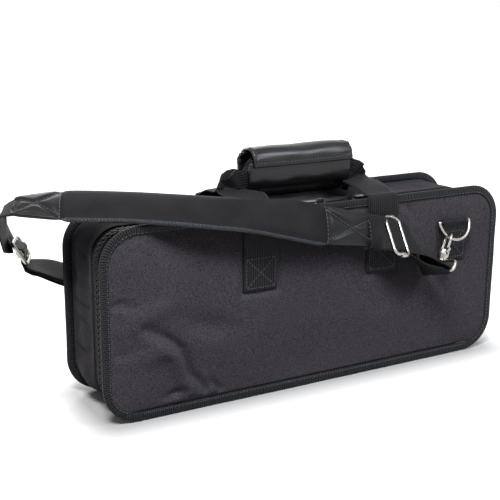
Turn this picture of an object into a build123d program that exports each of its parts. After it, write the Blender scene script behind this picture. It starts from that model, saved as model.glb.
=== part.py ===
from build123d import *
import os
from math import cos, hypot, pi, radians, sin

# Padded gig bag for a small keyboard, in millimetres.
# The origin is on the ground under the middle of the bag, +X runs along the bag,
# -Y is the front panel's side and +Z is up.

os.makedirs("parts", exist_ok=True)

# Bag body, measured from seam to seam
bag_length = 480
bag_height = 181
bag_depth = 99
corner_radius = 30
flange_width = 9.5
ground_gap = 0.5

# Layers of the walls
fabric_thickness = 1.6
foam_thickness = 8
lining_thickness = 0.8
tape_thickness = 1.0
panel_foam_thickness = 8.8
seat = 0.2
joint_gap = 0.3

# Binding tape folded over the flange
binding_depth = 5
binding_round = 1.6
cover_reach = 6.5

# Base, which sags from the seams to the ground
base_thickness = 12
base_end_slope = 22
base_side_slope = 7

# Zip that parts the lid from the shell
zip_setback = 30
zip_gap = 0.6
coil_width = 4.8
coil_height = 0.9
coil_groove = 0.8
coil_pitch = 6
tape_reach = 18
rim_width = 15
rear_tape_reach = 18.5
parting_width = 4.2

# Zip slider and its pull tab
slider_length = 14
slider_width = 13.2
slider_plate = 1.5
slider_side = 1
slider_clearance = 0.3
slider_post_length = 4
slider_post_width = 1.8
slider_nose_width = 8
left_slider_x = 20
right_slider_x = 58
lug_length = 7
lug_width = 3.2
lug_height = 4.4
lug_bore = 1.3
pull_pin = 1.22
pull_arm = 1.4
pull_neck = 6
pull_length = 22
pull_width = 8
pull_thickness = 1.6
pull_round = 3
pull_hole = 1.8

# Webbing of the handles and of the strap
web_width = 40
web_thickness = 2.4
strap_width = 38
strap_thickness = 1.6
web_bend = 2.6
patch_drop = 73
left_leg_x = -75
right_leg_x = 80

# Hand grip
grip_centre_x = 3
grip_length = 128
grip_centre_y = 6
grip_rise = 41
grip_depth = 28
grip_height = 46
grip_round = 12
grip_wall = 4
grip_mouth = 4
handle_gap = 3.2
handle_bar_height = 36
shoulder_rise = 8
shoulder_edge = 3
gather_run = 6
flap_thickness = 1.8
flap_lap = 1
flap_reach = 8

# D-rings and their tabs
ring_x = 180
ring_width = 43
ring_wire = 1.8
ring_drop = 28
ring_tilt = 23
tab_width = 37
tab_length = 46
tab_web = 1.4
bar_clearance = 0.3

# Snap hooks
hook_contact = 37
hook_lean = 2
hook_bow = 5
hook_wire = 1.7
hook_drop = 1.2
hook_nose = 4
hook_base_top = 18
hook_base_foot = 28.5
hook_base_wide = 6.6
hook_base_narrow = 3.8
gate_thickness = 3
gate_width = 2.6
gate_offset = 5
gate_pivot = 20.5
gate_slot = 3.6
gate_clearance = 0.4
thumb_reach = 5
thumb_height = 5
gate_pin_radius = 0.9
pin_clearance = 0.05
swivel_neck = 1.4
swivel_head = 2.1
swivel_head_top = 24.2
swivel_head_height = 1
swivel_clearance = 0.1
collar_radius = 3.4
collar_height = 2
eye_width = 43
eye_height = 13
eye_wire = 1.8
eye_round = 4.5

# Adjusters
adjuster_width = 25
adjuster_height = 45
adjuster_wire = 1.8
adjuster_round = 6
adjuster_bar_wire = 1.5
adjuster_bar_clearance = 0.3
adjuster_knob = 3.2
adjuster_knob_length = 6
front_adjuster_shift = 3.3
front_adjuster_drop = 30
front_adjuster_stand = 25
rear_adjuster_reach = 45.7
rear_adjuster_drop = 32.5
rear_adjuster_stand = 20.5
front_adjuster_across = (0.93, 0.22, -0.3)
front_adjuster_up = (0, 0.6, 0.8)
rear_adjuster_across = (0.47, -0.24, -0.85)
rear_adjuster_up = (0.38, 0.92, -0.05)
strand_gap = 5
strand_lead = 16
strand_run = 22
strap_fold_width = 35
strap_fold_angles = (45, 90, 135, 165)

# Shoulder pad
pad_width = 48
pad_thickness = 9
pad_edge = 6
pad_cover = 1.2

# Derived heights and places
seam_foot = flange_width + ground_gap
seam_top = seam_foot + bag_height
mid_height = seam_foot + bag_height / 2
front_seam = -bag_depth / 2
back_seam = bag_depth / 2
binding_half = binding_depth / 2
flange_top = seam_top + flange_width
bottom_run = bag_length - 2 * corner_radius
foam_start = fabric_thickness + tape_thickness + 2 * seat
foam_end = foam_start + foam_thickness
lining_start = foam_end + seat
lining_end = lining_start + lining_thickness
zip_line = front_seam + zip_setback
panel_inner = bag_depth / 2 - seat - panel_foam_thickness
lid_edge = seam_foot + joint_gap
inner_edge = base_thickness + lining_thickness + joint_gap + seat
hinge_line = front_seam - binding_half
grip_centre_z = seam_top + grip_rise
patch_foot = seam_top - patch_drop
ring_height_z = seam_top - ring_drop
tab_foot = ring_height_z - tab_length


def facing(y):
    """Plane across the bag at y, seen from the front, centred on the panels."""
    return Plane(origin=(0, y, mid_height), x_dir=(1, 0, 0), z_dir=(0, -1, 0))


def outline(grow, mode=Mode.ADD):
    """Rounded rectangle of the seam, grown outwards by grow."""
    RectangleRounded(bag_length + 2 * grow, bag_height + 2 * grow, corner_radius + grow, mode=mode)


def open_at_base():
    """Takes the straight bottom run out of a ring that leaves the base free."""
    with Locations((0, -bag_height / 2)):
        Rectangle(bottom_run, 2 * corner_radius, mode=Mode.SUBTRACT)


def wall(y_front, y_back, outer, inner):
    """Wall of the gusset between two depths, round the sides and the top."""
    with BuildSketch(facing(y_back)) as drawn:
        outline(outer)
        outline(inner, mode=Mode.SUBTRACT)
        open_at_base()
    extrude(drawn.sketch, amount=y_back - y_front)


def panel(y_front, y_back, grow, skirt=0):
    """Flat panel between two depths, with a skirt down to the base if given."""
    with BuildSketch(facing(y_back)) as drawn:
        outline(grow)
        if skirt:
            with Locations((0, -bag_height / 2)):
                Rectangle(bottom_run - 2 * seat, 2 * skirt)
    extrude(drawn.sketch, amount=y_back - y_front)


def binding_ring(seam):
    """Tape folded over the flange, with the slot that holds the panel's edge."""
    with BuildSketch(facing(seam + binding_half)) as drawn:
        outline(flange_width)
        outline(seat, mode=Mode.SUBTRACT)
    extrude(drawn.sketch, amount=binding_depth)
    rims = faces().sort_by(Axis.Y)
    fillet(rims[0].outer_wire().edges() + rims[-1].outer_wire().edges(), radius=binding_round)
    slot_front = min(seam, seam + fabric_thickness * (1 if seam > 0 else -1)) - seat
    with BuildSketch(facing(slot_front + fabric_thickness + 2 * seat)) as drawn:
        outline(cover_reach + seat)
    extrude(drawn.sketch, amount=fabric_thickness + 2 * seat, mode=Mode.SUBTRACT)


def wire_loop(width, height, bend):
    """Closed run of wire, from the middle of its upper side."""
    x = width / 2
    y = height / 2
    FilletPolyline((0, y), (x, y), (x, -y), (0, -y), radius=bend)
    FilletPolyline((0, -y), (-x, -y), (-x, y), (0, y), radius=bend)


# Panels of the lid
with BuildPart() as front_panel_cover:
    panel(front_seam - fabric_thickness, front_seam, cover_reach)
    split(bisect_by=Plane.XY.offset(lid_edge), keep=Keep.TOP)
front_panel_cover.part.label = "front_panel_cover"

with BuildPart() as front_foam:
    panel(front_seam + seat, -panel_inner, -foam_start)
    split(bisect_by=Plane.XY.offset(inner_edge), keep=Keep.TOP)
front_foam.part.label = "front_foam"

with BuildPart() as front_binding:
    binding_ring(front_seam)
    split(bisect_by=Plane.XY.offset(lid_edge), keep=Keep.TOP)
front_binding.part.label = "front_binding"

with BuildPart() as base_binding:
    binding_ring(front_seam)
    split(bisect_by=Plane.XY.offset(seam_foot - joint_gap), keep=Keep.BOTTOM)
base_binding.part.label = "base_binding"

with BuildPart() as front_gusset_rim:
    wall(front_seam + seat, front_seam + rim_width, 0, -fabric_thickness)
    split(bisect_by=Plane.XY.offset(lid_edge), keep=Keep.TOP)
front_gusset_rim.part.label = "front_gusset_rim"

with BuildPart() as rim_foam:
    wall(-panel_inner + seat, zip_line - slider_width / 2 - seat, -foam_start, -foam_end)
    split(bisect_by=Plane.XY.offset(inner_edge), keep=Keep.TOP)
rim_foam.part.label = "rim_foam"

with BuildPart() as lid_lining:
    panel(-panel_inner + seat, -panel_inner + seat + lining_thickness, -lining_start, corner_radius)
    wall(-panel_inner + seat, zip_line - slider_width / 2 - seat, -lining_start, -lining_end)
    split(bisect_by=Plane.XY.offset(inner_edge), keep=Keep.TOP)
lid_lining.part.label = "lid_lining"

# Panels and walls of the shell
with BuildPart() as back_panel_cover:
    panel(back_seam, back_seam + fabric_thickness, cover_reach)
back_panel_cover.part.label = "back_panel_cover"

with BuildPart() as back_foam:
    panel(panel_inner, back_seam - seat, -foam_start)
    split(bisect_by=Plane.XY.offset(inner_edge), keep=Keep.TOP)
back_foam.part.label = "back_foam"

with BuildPart() as back_binding:
    binding_ring(back_seam)
back_binding.part.label = "back_binding"

with BuildPart() as rear_gusset:
    wall(zip_line + rim_width, back_seam - seat, 0, -fabric_thickness)
rear_gusset.part.label = "rear_gusset"

with BuildPart() as gusset_foam:
    wall(zip_line + slider_width / 2 + seat, panel_inner - seat, -foam_start, -foam_end)
gusset_foam.part.label = "gusset_foam"

with BuildPart() as body_lining:
    panel(panel_inner - seat - lining_thickness, panel_inner - seat, -lining_start, corner_radius)
    wall(zip_line + slider_width / 2 + seat, panel_inner - seat, -lining_start, -lining_end)
    split(bisect_by=Plane.XY.offset(inner_edge), keep=Keep.TOP)
body_lining.part.label = "body_lining"


# Base gusset, with sloped ends and edges where the fabric rises to the seams
base_half_length = bottom_run / 2 - seat
base_half_depth = bag_depth / 2 - binding_half


def base_form(inset):
    """Sagging base between the end seams, inset by a layer's thickness."""
    half_length = base_half_length - inset
    flat = base_half_length - base_end_slope
    with BuildSketch(Plane.XZ) as drawn:
        with BuildLine():
            Polyline(
                (-half_length, base_thickness),
                (-half_length, seam_foot + inset),
                (-flat, inset),
                (flat, inset),
                (half_length, seam_foot + inset),
                (half_length, base_thickness),
                close=True,
            )
        make_face()
    extrude(drawn.sketch, amount=base_half_depth - inset, both=True)
    half_depth = base_half_depth - inset
    middle = base_half_depth - base_side_slope
    with BuildSketch(Plane.YZ) as drawn:
        with BuildLine():
            Polyline(
                (-half_depth, base_thickness),
                (-half_depth, base_side_slope + inset),
                (-middle, inset),
                (middle, inset),
                (half_depth, base_side_slope + inset),
                (half_depth, base_thickness),
                close=True,
            )
        make_face()
    extrude(drawn.sketch, amount=bag_length, both=True, mode=Mode.INTERSECT)


with BuildPart() as base_foam:
    base_form(fabric_thickness)
base_foam.part.label = "base_foam"

with BuildPart() as base_gusset:
    base_form(0)
    add(base_foam.part, mode=Mode.SUBTRACT)
base_gusset.part.label = "base_gusset"

with BuildPart() as base_lining:
    with BuildSketch(Plane.XY.offset(base_thickness)):
        Rectangle(2 * base_half_length, 2 * base_half_depth)
    extrude(amount=lining_thickness)
base_lining.part.label = "base_lining"


# Zip: a tape and a ribbed coil on each side of the parting line
def seam_point(distance, grow):
    """Point on the seam's arch at a distance along it, grown outwards."""
    side = bag_height - 2 * corner_radius
    quarter = corner_radius * pi / 2
    runs = [quarter, side, quarter, bottom_run, quarter, side, quarter]
    corners = [
        (-bottom_run / 2, -side / 2, -pi / 2),
        None,
        (-bottom_run / 2, side / 2, -pi),
        None,
        (bottom_run / 2, side / 2, pi / 2),
        None,
        (bottom_run / 2, -side / 2, 0),
    ]
    starts = [
        None,
        (-bag_length / 2 - grow, -side / 2, 0, 1),
        None,
        (-bottom_run / 2, bag_height / 2 + grow, 1, 0),
        None,
        (bag_length / 2 + grow, side / 2, 0, -1),
        None,
    ]
    left = distance
    for run, corner, start in zip(runs, corners, starts):
        if left <= run or run is runs[-1] and start is None and corner is corners[-1]:
            break
        left -= run
    if corner is not None:
        angle = corner[2] - left / corner_radius
        reach = corner_radius + grow
        return (corner[0] + reach * cos(angle), corner[1] + reach * sin(angle))
    return (start[0] + start[2] * left, start[1] + start[3] * left)


seam_length = bottom_run + 2 * (bag_height - 2 * corner_radius) + 2 * pi * corner_radius
rib_count = int(seam_length / coil_pitch)
rib_step = seam_length / rib_count
rib_profile_shares = [(0, 0), (0.12, 1), (0.38, 1), (0.5, 0)]


def coil(y_front, y_back, shift):
    """Ribbed coil round the arch, its ribs set off by a share of the pitch."""
    crest = coil_height
    root = coil_height - coil_groove
    outer = []
    for rib in range(rib_count):
        for along_share, height_share in rib_profile_shares:
            distance = (rib + along_share + shift) * rib_step
            outer.append(seam_point(distance, root + (crest - root) * height_share))
    inner = [seam_point(rib * rib_step, -fabric_thickness) for rib in range(rib_count)]
    with BuildSketch(facing(y_back)) as drawn:
        with BuildLine():
            Polyline(*outer, *reversed(inner), close=True)
        make_face()
    extrude(drawn.sketch, amount=y_back - y_front)


def parting():
    """Short stretch between the two sliders where the rows stand apart."""
    span = right_slider_x - left_slider_x
    with BuildSketch(Plane.XY.offset(seam_top - foam_start)) as drawn:
        with Locations(((left_slider_x + right_slider_x) / 2, zip_line)):
            Rectangle(span, parting_width)
    extrude(drawn.sketch, amount=foam_start + 2 * coil_height, mode=Mode.SUBTRACT)


tape_top = -fabric_thickness - seat
tape_under = tape_top - tape_thickness
front_coil_edge = zip_line - zip_gap / 2
rear_coil_edge = zip_line + zip_gap / 2

with BuildPart() as zip_tape_front:
    wall(front_coil_edge - tape_reach, front_coil_edge - seat, tape_top, tape_under)
    split(bisect_by=Plane.XY.offset(inner_edge), keep=Keep.TOP)
    parting()
zip_tape_front.part.label = "zip_tape_front"

with BuildPart() as zip_tape_rear:
    wall(rear_coil_edge + seat, rear_coil_edge + rear_tape_reach, tape_top, tape_under)
    parting()
zip_tape_rear.part.label = "zip_tape_rear"

with BuildPart() as zip_teeth_front:
    coil(front_coil_edge - coil_width, front_coil_edge, 0)
    split(bisect_by=Plane.XY.offset(inner_edge), keep=Keep.TOP)
    parting()
zip_teeth_front.part.label = "zip_teeth_front"

with BuildPart() as zip_teeth_rear:
    coil(rear_coil_edge, rear_coil_edge + coil_width, rib_profile_shares[-1][0])
    parting()
zip_teeth_rear.part.label = "zip_teeth_rear"

# Zip sliders and pull tabs
plate_foot = coil_height + slider_clearance
under_plate_top = tape_under - slider_clearance
pivot_height = plate_foot + slider_plate + lug_height / 2


def slider(x, inward):
    """Slider at x: two plates on a post, with a lug that holds the pull tab."""
    section = Plane(origin=(x, zip_line, seam_top), x_dir=(0, 1, 0), z_dir=(1, 0, 0))
    side_height = plate_foot - tape_top - slider_clearance
    with BuildSketch(section) as drawn:
        with Locations((0, plate_foot + slider_plate / 2)):
            Rectangle(slider_width, slider_plate)
        with Locations((0, under_plate_top - slider_plate / 2)):
            Rectangle(slider_width, slider_plate)
        edge = slider_width / 2 - slider_side / 2
        with Locations((-edge, plate_foot - side_height / 2), (edge, plate_foot - side_height / 2)):
            Rectangle(slider_side, side_height)
    extrude(drawn.sketch, amount=slider_length / 2, both=True)
    plan = Plane.XY.offset(seam_top + under_plate_top - slider_plate)
    with BuildSketch(plan) as drawn:
        with BuildLine():
            Polyline(
                (x + inward * slider_length / 2, zip_line - slider_width / 2),
                (x + inward * slider_length / 2, zip_line + slider_width / 2),
                (x, zip_line + slider_width / 2),
                (x - inward * slider_length / 2, zip_line + slider_nose_width / 2),
                (x - inward * slider_length / 2, zip_line - slider_nose_width / 2),
                (x, zip_line - slider_width / 2),
                close=True,
            )
        make_face()
    extrude(drawn.sketch, amount=plate_foot + 2 * slider_plate - under_plate_top, mode=Mode.INTERSECT)
    post_x = x + inward * (slider_length - slider_post_length) / 2
    with BuildSketch(plan) as drawn:
        with Locations((post_x, zip_line)):
            Rectangle(slider_post_length, slider_post_width)
    extrude(drawn.sketch, amount=plate_foot + slider_plate * 1.5 - under_plate_top)
    lug_plane = Plane(
        origin=(x, zip_line, seam_top + plate_foot + slider_plate),
        x_dir=(1, 0, 0),
        z_dir=(0, -1, 0),
    )
    with BuildSketch(lug_plane) as drawn:
        with Locations((0, lug_height / 2)):
            RectangleRounded(lug_length, lug_height, lug_height / 2 - seat)
        with Locations((0, lug_height / 4)):
            Rectangle(lug_length, lug_height / 2)
        with Locations((0, lug_height / 2)):
            Circle(lug_bore, mode=Mode.SUBTRACT)
    extrude(drawn.sketch, amount=lug_width / 2, both=True)


def pull(x, outward):
    """Pull tab lying flat, its pin through the slider's lug."""
    pivot = (x, zip_line, seam_top + pivot_height)
    pin_plane = Plane(origin=pivot, x_dir=(1, 0, 0), z_dir=(0, -1, 0))
    half_fork = lug_width / 2 + slider_clearance + pull_arm
    with BuildSketch(pin_plane) as drawn:
        Circle(pull_pin)
    extrude(drawn.sketch, amount=half_fork, both=True)
    flat = Plane.XY.offset(seam_top + pivot_height - pull_thickness / 2)
    arm_y = half_fork - pull_arm / 2
    with BuildSketch(flat) as drawn:
        with Locations(
            (x + outward * pull_neck / 2, zip_line - arm_y),
            (x + outward * pull_neck / 2, zip_line + arm_y),
        ):
            Rectangle(pull_neck + 2 * pull_pin, pull_arm)
        with Locations((x + outward * (pull_neck + pull_length / 2), zip_line)):
            RectangleRounded(pull_length, pull_width, pull_round)
        with Locations((x + outward * (pull_neck + pull_length - pull_round), zip_line)):
            Circle(pull_hole, mode=Mode.SUBTRACT)
    extrude(drawn.sketch, amount=pull_thickness)


with BuildPart() as left_zip_slider:
    slider(left_slider_x, 1)
left_zip_slider.part.label = "left_zip_slider"

with BuildPart() as right_zip_slider:
    slider(right_slider_x, -1)
right_zip_slider.part.label = "right_zip_slider"

with BuildPart() as left_pull_tab:
    pull(left_slider_x, -1)
left_pull_tab.part.label = "left_pull_tab"

with BuildPart() as right_pull_tab:
    pull(right_slider_x, 1)
right_pull_tab.part.label = "right_pull_tab"

# Carrying handles: two legs sewn to each panel and a bar inside the grip
leg_line = hinge_line - seat - web_thickness / 2
over_flange = flange_top + seat + web_thickness / 2
bar_foot = grip_centre_z - handle_bar_height / 2
bar_top = grip_centre_z + handle_bar_height / 2
front_bar_y = grip_centre_y - handle_gap / 2 - web_thickness / 2
rear_bar_y = grip_centre_y + handle_gap / 2 + web_thickness / 2
bar_overlap = web_thickness


def leg(x, points):
    """Webbing leg of full width at x, along points across the bag."""
    with BuildSketch(Plane.YZ.offset(x - web_width / 2)) as drawn:
        with BuildLine():
            FilletPolyline(*points, radius=web_bend)
        trace(line_width=web_thickness)
    extrude(drawn.sketch, amount=web_width)


def handle_bar(y):
    """Bar of webbing on edge inside the grip, gathered at its ends above the two legs."""
    left = left_leg_x - web_width / 2
    right = right_leg_x + web_width / 2
    grip_left = grip_centre_x - grip_length / 2
    grip_right = grip_centre_x + grip_length / 2
    with BuildSketch(Plane(origin=(0, y, 0), x_dir=(1, 0, 0), z_dir=(0, -1, 0))) as drawn:
        with BuildLine():
            Polyline(
                (left, bar_foot),
                (left, bar_foot + shoulder_edge),
                (grip_left - seat, bar_foot + shoulder_rise),
                (grip_left + gather_run, bar_top),
                (grip_right - gather_run, bar_top),
                (grip_right + seat, bar_foot + shoulder_rise),
                (right, bar_foot + shoulder_edge),
                (right, bar_foot),
                close=True,
            )
        make_face()
    extrude(drawn.sketch, amount=web_thickness / 2, both=True)


def under_grip():
    """Gathers the webbing where it rises past the ends of the grip."""
    with BuildSketch(Plane.XY.offset(grip_centre_z - grip_height / 2 - seat)) as drawn:
        with Locations((grip_centre_x, grip_centre_y)):
            Rectangle(grip_length + 2 * seat, grip_depth + 2 * seat)
    extrude(drawn.sketch, amount=grip_wall + 4 * seat, mode=Mode.SUBTRACT)


flange_inner = bag_depth / 2 - binding_half - seat - web_thickness


def handle(side, bar_y):
    """Handle of one panel: side is -1 for the front and 1 for the back."""
    for leg_x in (left_leg_x, right_leg_x):
        leg(
            leg_x,
            [
                (-side * leg_line, patch_foot),
                (-side * leg_line, over_flange),
                (side * flange_inner, over_flange),
                (bar_y, bar_foot - web_bend),
                (bar_y, bar_foot + bar_overlap),
            ],
        )
    handle_bar(bar_y)
    under_grip()


with BuildPart() as front_handle:
    handle(-1, front_bar_y)
front_handle.part.label = "front_handle"

with BuildPart() as back_handle:
    handle(1, rear_bar_y)
back_handle.part.label = "back_handle"

# Grip wrapped round both handles, closed by a flap that laps over its front
grip_start = grip_centre_x - grip_length / 2
grip_section = Plane.YZ.offset(grip_start)
mouth_foot = grip_centre_z + grip_mouth
flap_hinge_y = grip_centre_y + flap_reach


def grip_outline(grow, mode=Mode.ADD):
    """Rounded section of the grip, grown outwards."""
    with Locations((grip_centre_y, grip_centre_z)):
        RectangleRounded(grip_depth + 2 * grow, grip_height + 2 * grow, grip_round + grow, mode=mode)


with BuildPart() as grip_wrap:
    with BuildSketch(grip_section):
        grip_outline(0)
        grip_outline(-grip_wall, mode=Mode.SUBTRACT)
        with Locations((grip_centre_y - grip_depth / 2, mouth_foot + grip_height / 2)):
            Rectangle(grip_depth - grip_wall, grip_height, mode=Mode.SUBTRACT)
    extrude(amount=grip_length)
grip_wrap.part.label = "grip_wrap"

with BuildPart() as grip_flap:
    with BuildSketch(grip_section):
        grip_outline(joint_gap + flap_thickness)
        grip_outline(joint_gap, mode=Mode.SUBTRACT)
        with Locations((grip_centre_y, grip_centre_z + flap_lap - grip_height / 2)):
            Rectangle(2 * grip_depth, grip_height, mode=Mode.SUBTRACT)
        with Locations((flap_hinge_y + grip_depth / 2, grip_centre_z)):
            Rectangle(grip_depth, 2 * grip_height, mode=Mode.SUBTRACT)
    extrude(amount=grip_length)
grip_flap.part.label = "grip_flap"

# D-ring tabs, D-rings and snap hooks, on the front and mirrored on the back
bar_radius = ring_wire + bar_clearance
bar_y = hinge_line - seat - bar_radius - tab_web
bow_radius = ring_width / 2
rear_shift = -2 * ring_x


def tab():
    """Webbing tab sewn to the panel, with a loop round the D-ring's bar."""
    with BuildSketch(Plane.YZ.offset(ring_x - tab_width / 2)) as drawn:
        with Locations((hinge_line - seat - tab_web, (tab_foot + ring_height_z) / 2)):
            Rectangle(2 * tab_web, ring_height_z - tab_foot)
        with Locations((bar_y, ring_height_z)):
            Circle(bar_radius + tab_web)
            Circle(bar_radius, mode=Mode.SUBTRACT)
    extrude(drawn.sketch, amount=tab_width)


ring_up = Vector(0, sin(radians(ring_tilt)), cos(radians(ring_tilt)))
ring_out = Vector(0, -cos(radians(ring_tilt)), sin(radians(ring_tilt)))
ring_centre = Vector(ring_x, bar_y, ring_height_z)
along_x = Vector(1, 0, 0)
lean_angle = radians(hook_contact)
ring_radial = along_x * -sin(lean_angle) + ring_up * -cos(lean_angle)
contact = ring_centre + ring_radial * bow_radius
hook_angle = radians(hook_lean)
hook_down = ring_radial * cos(hook_angle) + ring_out * sin(hook_angle)
hook_front = ring_out * cos(hook_angle) - ring_radial * sin(hook_angle)
hook_side = hook_front.cross(hook_down * -1)
hook_centre = contact + hook_down * hook_drop


def on_hook(front, down, side=0):
    """Point of the hook, measured from the centre of its bow."""
    return hook_centre + hook_front * front + hook_down * down + hook_side * side


def d_ring():
    """D-ring of round wire: a straight bar and a half-round bow."""
    left_end = ring_centre - along_x * bow_radius
    with BuildSketch(Plane(origin=left_end, x_dir=along_x, z_dir=ring_up)) as drawn:
        Circle(ring_wire)
    revolve(drawn.sketch, axis=Axis(ring_centre, ring_out), revolution_arc=180)
    with BuildSketch(Plane(origin=left_end, x_dir=ring_up, z_dir=along_x)) as drawn:
        Circle(ring_wire)
    extrude(drawn.sketch, amount=ring_width)
    with Locations(left_end, ring_centre + along_x * bow_radius):
        Sphere(ring_wire)


hook_plane = Plane(origin=hook_centre, x_dir=hook_front, z_dir=hook_side)
pivot_front = gate_offset - hook_wire
slot_start = pivot_front - gate_width / 2 - 3 * gate_clearance


def hook_body():
    """Hook of round wire on a bell, slotted for the gate and bored for the swivel."""
    with BuildLine(hook_plane) as course:
        spine = Line((-hook_bow, -hook_base_top - collar_height), (-hook_bow, 0))
        bow = ThreePointArc((-hook_bow, 0), (0, hook_bow), (hook_bow, 0))
        Line((hook_bow, 0), (hook_bow, -hook_nose))
    with BuildSketch(Plane(origin=spine @ 0, x_dir=hook_front, z_dir=hook_down * -1)) as drawn:
        Circle(hook_wire)
    sweep(drawn.sketch, path=course.line)
    bell_height = hook_base_foot - hook_base_top
    with BuildSketch(hook_plane) as drawn:
        with BuildLine():
            Polyline(
                (0, -hook_base_top),
                (hook_base_wide, -hook_base_top),
                (hook_base_wide, -hook_base_top - bell_height / 2),
                (hook_base_narrow, -hook_base_foot),
                (0, -hook_base_foot),
                close=True,
            )
        make_face()
    revolve(drawn.sketch, axis=Axis(hook_centre, hook_down), revolution_arc=360)
    with BuildSketch(hook_plane) as drawn:
        with Locations((gate_offset + slot_start, -gate_pivot + thumb_height / 2)):
            Rectangle(2 * gate_offset, 2 * thumb_height)
    extrude(drawn.sketch, amount=gate_slot / 2, both=True, mode=Mode.SUBTRACT)
    with BuildSketch(Plane(origin=on_hook(gate_offset - hook_wire, gate_pivot), z_dir=hook_side)) as drawn:
        Circle(gate_pin_radius + pin_clearance)
    extrude(drawn.sketch, amount=hook_base_wide, both=True, mode=Mode.SUBTRACT)
    neck_bore = swivel_neck + swivel_clearance
    with BuildSketch(Plane(origin=on_hook(0, swivel_head_top), z_dir=hook_down)) as drawn:
        Circle(neck_bore)
    extrude(drawn.sketch, amount=hook_base_foot, mode=Mode.SUBTRACT)
    with BuildSketch(Plane(origin=on_hook(0, swivel_head_top), z_dir=hook_down)) as drawn:
        Circle(swivel_head + swivel_clearance)
    extrude(drawn.sketch, amount=swivel_head_height + 2 * swivel_clearance, mode=Mode.SUBTRACT)


def gate():
    """Sprung gate that closes the hook's mouth, with a thumb tab at its pivot."""
    top = hook_nose + gate_clearance
    with BuildSketch(hook_plane) as drawn:
        with BuildLine():
            Polyline(
                (gate_offset - gate_width / 2, -top),
                (gate_offset + gate_width / 2, -top),
                (gate_offset + gate_width / 2, -gate_pivot + thumb_height),
                (gate_offset + thumb_reach, -gate_pivot + thumb_height),
                (gate_offset + thumb_reach, -gate_pivot + thumb_height / 2),
                (gate_offset + gate_width / 2, -gate_pivot),
                (pivot_front, -gate_pivot - gate_width / 2),
                (pivot_front - gate_width / 2, -gate_pivot),
                close=True,
            )
        make_face()
        with Locations((pivot_front, -gate_pivot)):
            Circle(gate_width / 2 + gate_clearance)
            Circle(gate_pin_radius + pin_clearance, mode=Mode.SUBTRACT)
    extrude(drawn.sketch, amount=gate_thickness / 2, both=True)


def gate_pin():
    """Pin across the bell on which the gate turns."""
    with BuildSketch(Plane(origin=on_hook(pivot_front, gate_pivot), z_dir=hook_side)) as drawn:
        Circle(gate_pin_radius)
    extrude(drawn.sketch, amount=hook_base_narrow, both=True)


minus_y = Vector(0, -1, 0)
eye_across = (minus_y - hook_down * minus_y.dot(hook_down)).normalized()
eye_top = hook_base_foot + swivel_clearance + collar_height + eye_wire / 2
eye_bar = on_hook(0, eye_top + eye_height)


def swivel_eye():
    """Headed stem with a long eye for the strap, free to turn in the bell."""
    neck_top = swivel_head_top + swivel_clearance
    with BuildSketch(Plane(origin=on_hook(0, neck_top), z_dir=hook_down)) as drawn:
        Circle(swivel_head)
    extrude(drawn.sketch, amount=swivel_head_height)
    with BuildSketch(Plane(origin=on_hook(0, neck_top), z_dir=hook_down)) as drawn:
        Circle(swivel_neck)
    extrude(drawn.sketch, amount=eye_top - neck_top)
    with BuildSketch(Plane(origin=on_hook(0, hook_base_foot + swivel_clearance), z_dir=hook_down)) as drawn:
        Circle(collar_radius)
    extrude(drawn.sketch, amount=collar_height)
    loop = Plane(
        origin=on_hook(0, eye_top + eye_height / 2),
        x_dir=eye_across,
        z_dir=eye_across.cross(hook_down * -1),
    )
    with BuildLine(loop) as course:
        wire_loop(eye_width, eye_height, eye_round)
    with BuildSketch(Plane(origin=on_hook(0, eye_top), z_dir=eye_across)) as drawn:
        Circle(eye_wire)
    sweep(drawn.sketch, path=course.line)


def to_back(part):
    """The same piece on the back panel, near the other end of the bag."""
    return Pos(rear_shift, 0, 0) * mirror(part, about=Plane.XZ, mode=Mode.PRIVATE)


strap_hardware = [
    ("ring_tab", tab),
    ("d_ring", d_ring),
    ("snap_hook", hook_body),
    ("hook_gate", gate),
    ("gate_pin", gate_pin),
    ("swivel_eye", swivel_eye),
]
hardware_parts = []
for piece_name, make_piece in strap_hardware:
    with BuildPart() as front_piece:
        make_piece()
    front_piece.part.label = "front_" + piece_name
    hardware_parts.append(front_piece.part)
    with BuildPart() as rear_piece:
        add(to_back(front_piece.part))
    rear_piece.part.label = "rear_" + piece_name
    hardware_parts.append(rear_piece.part)


# Adjusters: a wire frame with a loose bar across its middle
def adjuster_plane(at, across, up):
    """Plane of an adjuster: x across its bars, y along them."""
    x_axis = Vector(*across).normalized()
    up_axis = Vector(*up)
    y_axis = (up_axis - x_axis * up_axis.dot(x_axis)).normalized()
    return Plane(origin=Vector(*at), x_dir=x_axis, z_dir=x_axis.cross(y_axis))


def adjuster_frame(plane):
    """Rounded rectangle of wire."""
    with BuildLine(plane) as course:
        wire_loop(adjuster_width, adjuster_height, adjuster_round)
    start = plane.from_local_coords(Vector(0, adjuster_height / 2, 0))
    with BuildSketch(Plane(origin=start, z_dir=plane.x_dir)) as drawn:
        Circle(adjuster_wire)
    sweep(drawn.sketch, path=course.line)


def adjuster_bar(plane):
    """Bar across the frame, its end eyes threaded on the frame's short sides."""
    half_height = adjuster_height / 2
    foot = plane.from_local_coords(Vector(0, -half_height + adjuster_wire, 0))
    with BuildSketch(Plane(origin=foot, z_dir=plane.y_dir)) as drawn:
        Circle(adjuster_bar_wire)
    extrude(drawn.sketch, amount=adjuster_height - 2 * adjuster_wire)
    for end in (-half_height, half_height):
        start = plane.from_local_coords(Vector(-adjuster_knob_length / 2, end, 0))
        with BuildSketch(Plane(origin=start, z_dir=plane.x_dir)) as drawn:
            Circle(adjuster_knob)
        extrude(drawn.sketch, amount=adjuster_knob_length)
        with BuildSketch(Plane(origin=start, z_dir=plane.x_dir)) as drawn:
            Circle(adjuster_wire + adjuster_bar_clearance)
        extrude(drawn.sketch, amount=adjuster_knob_length, mode=Mode.SUBTRACT)


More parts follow.
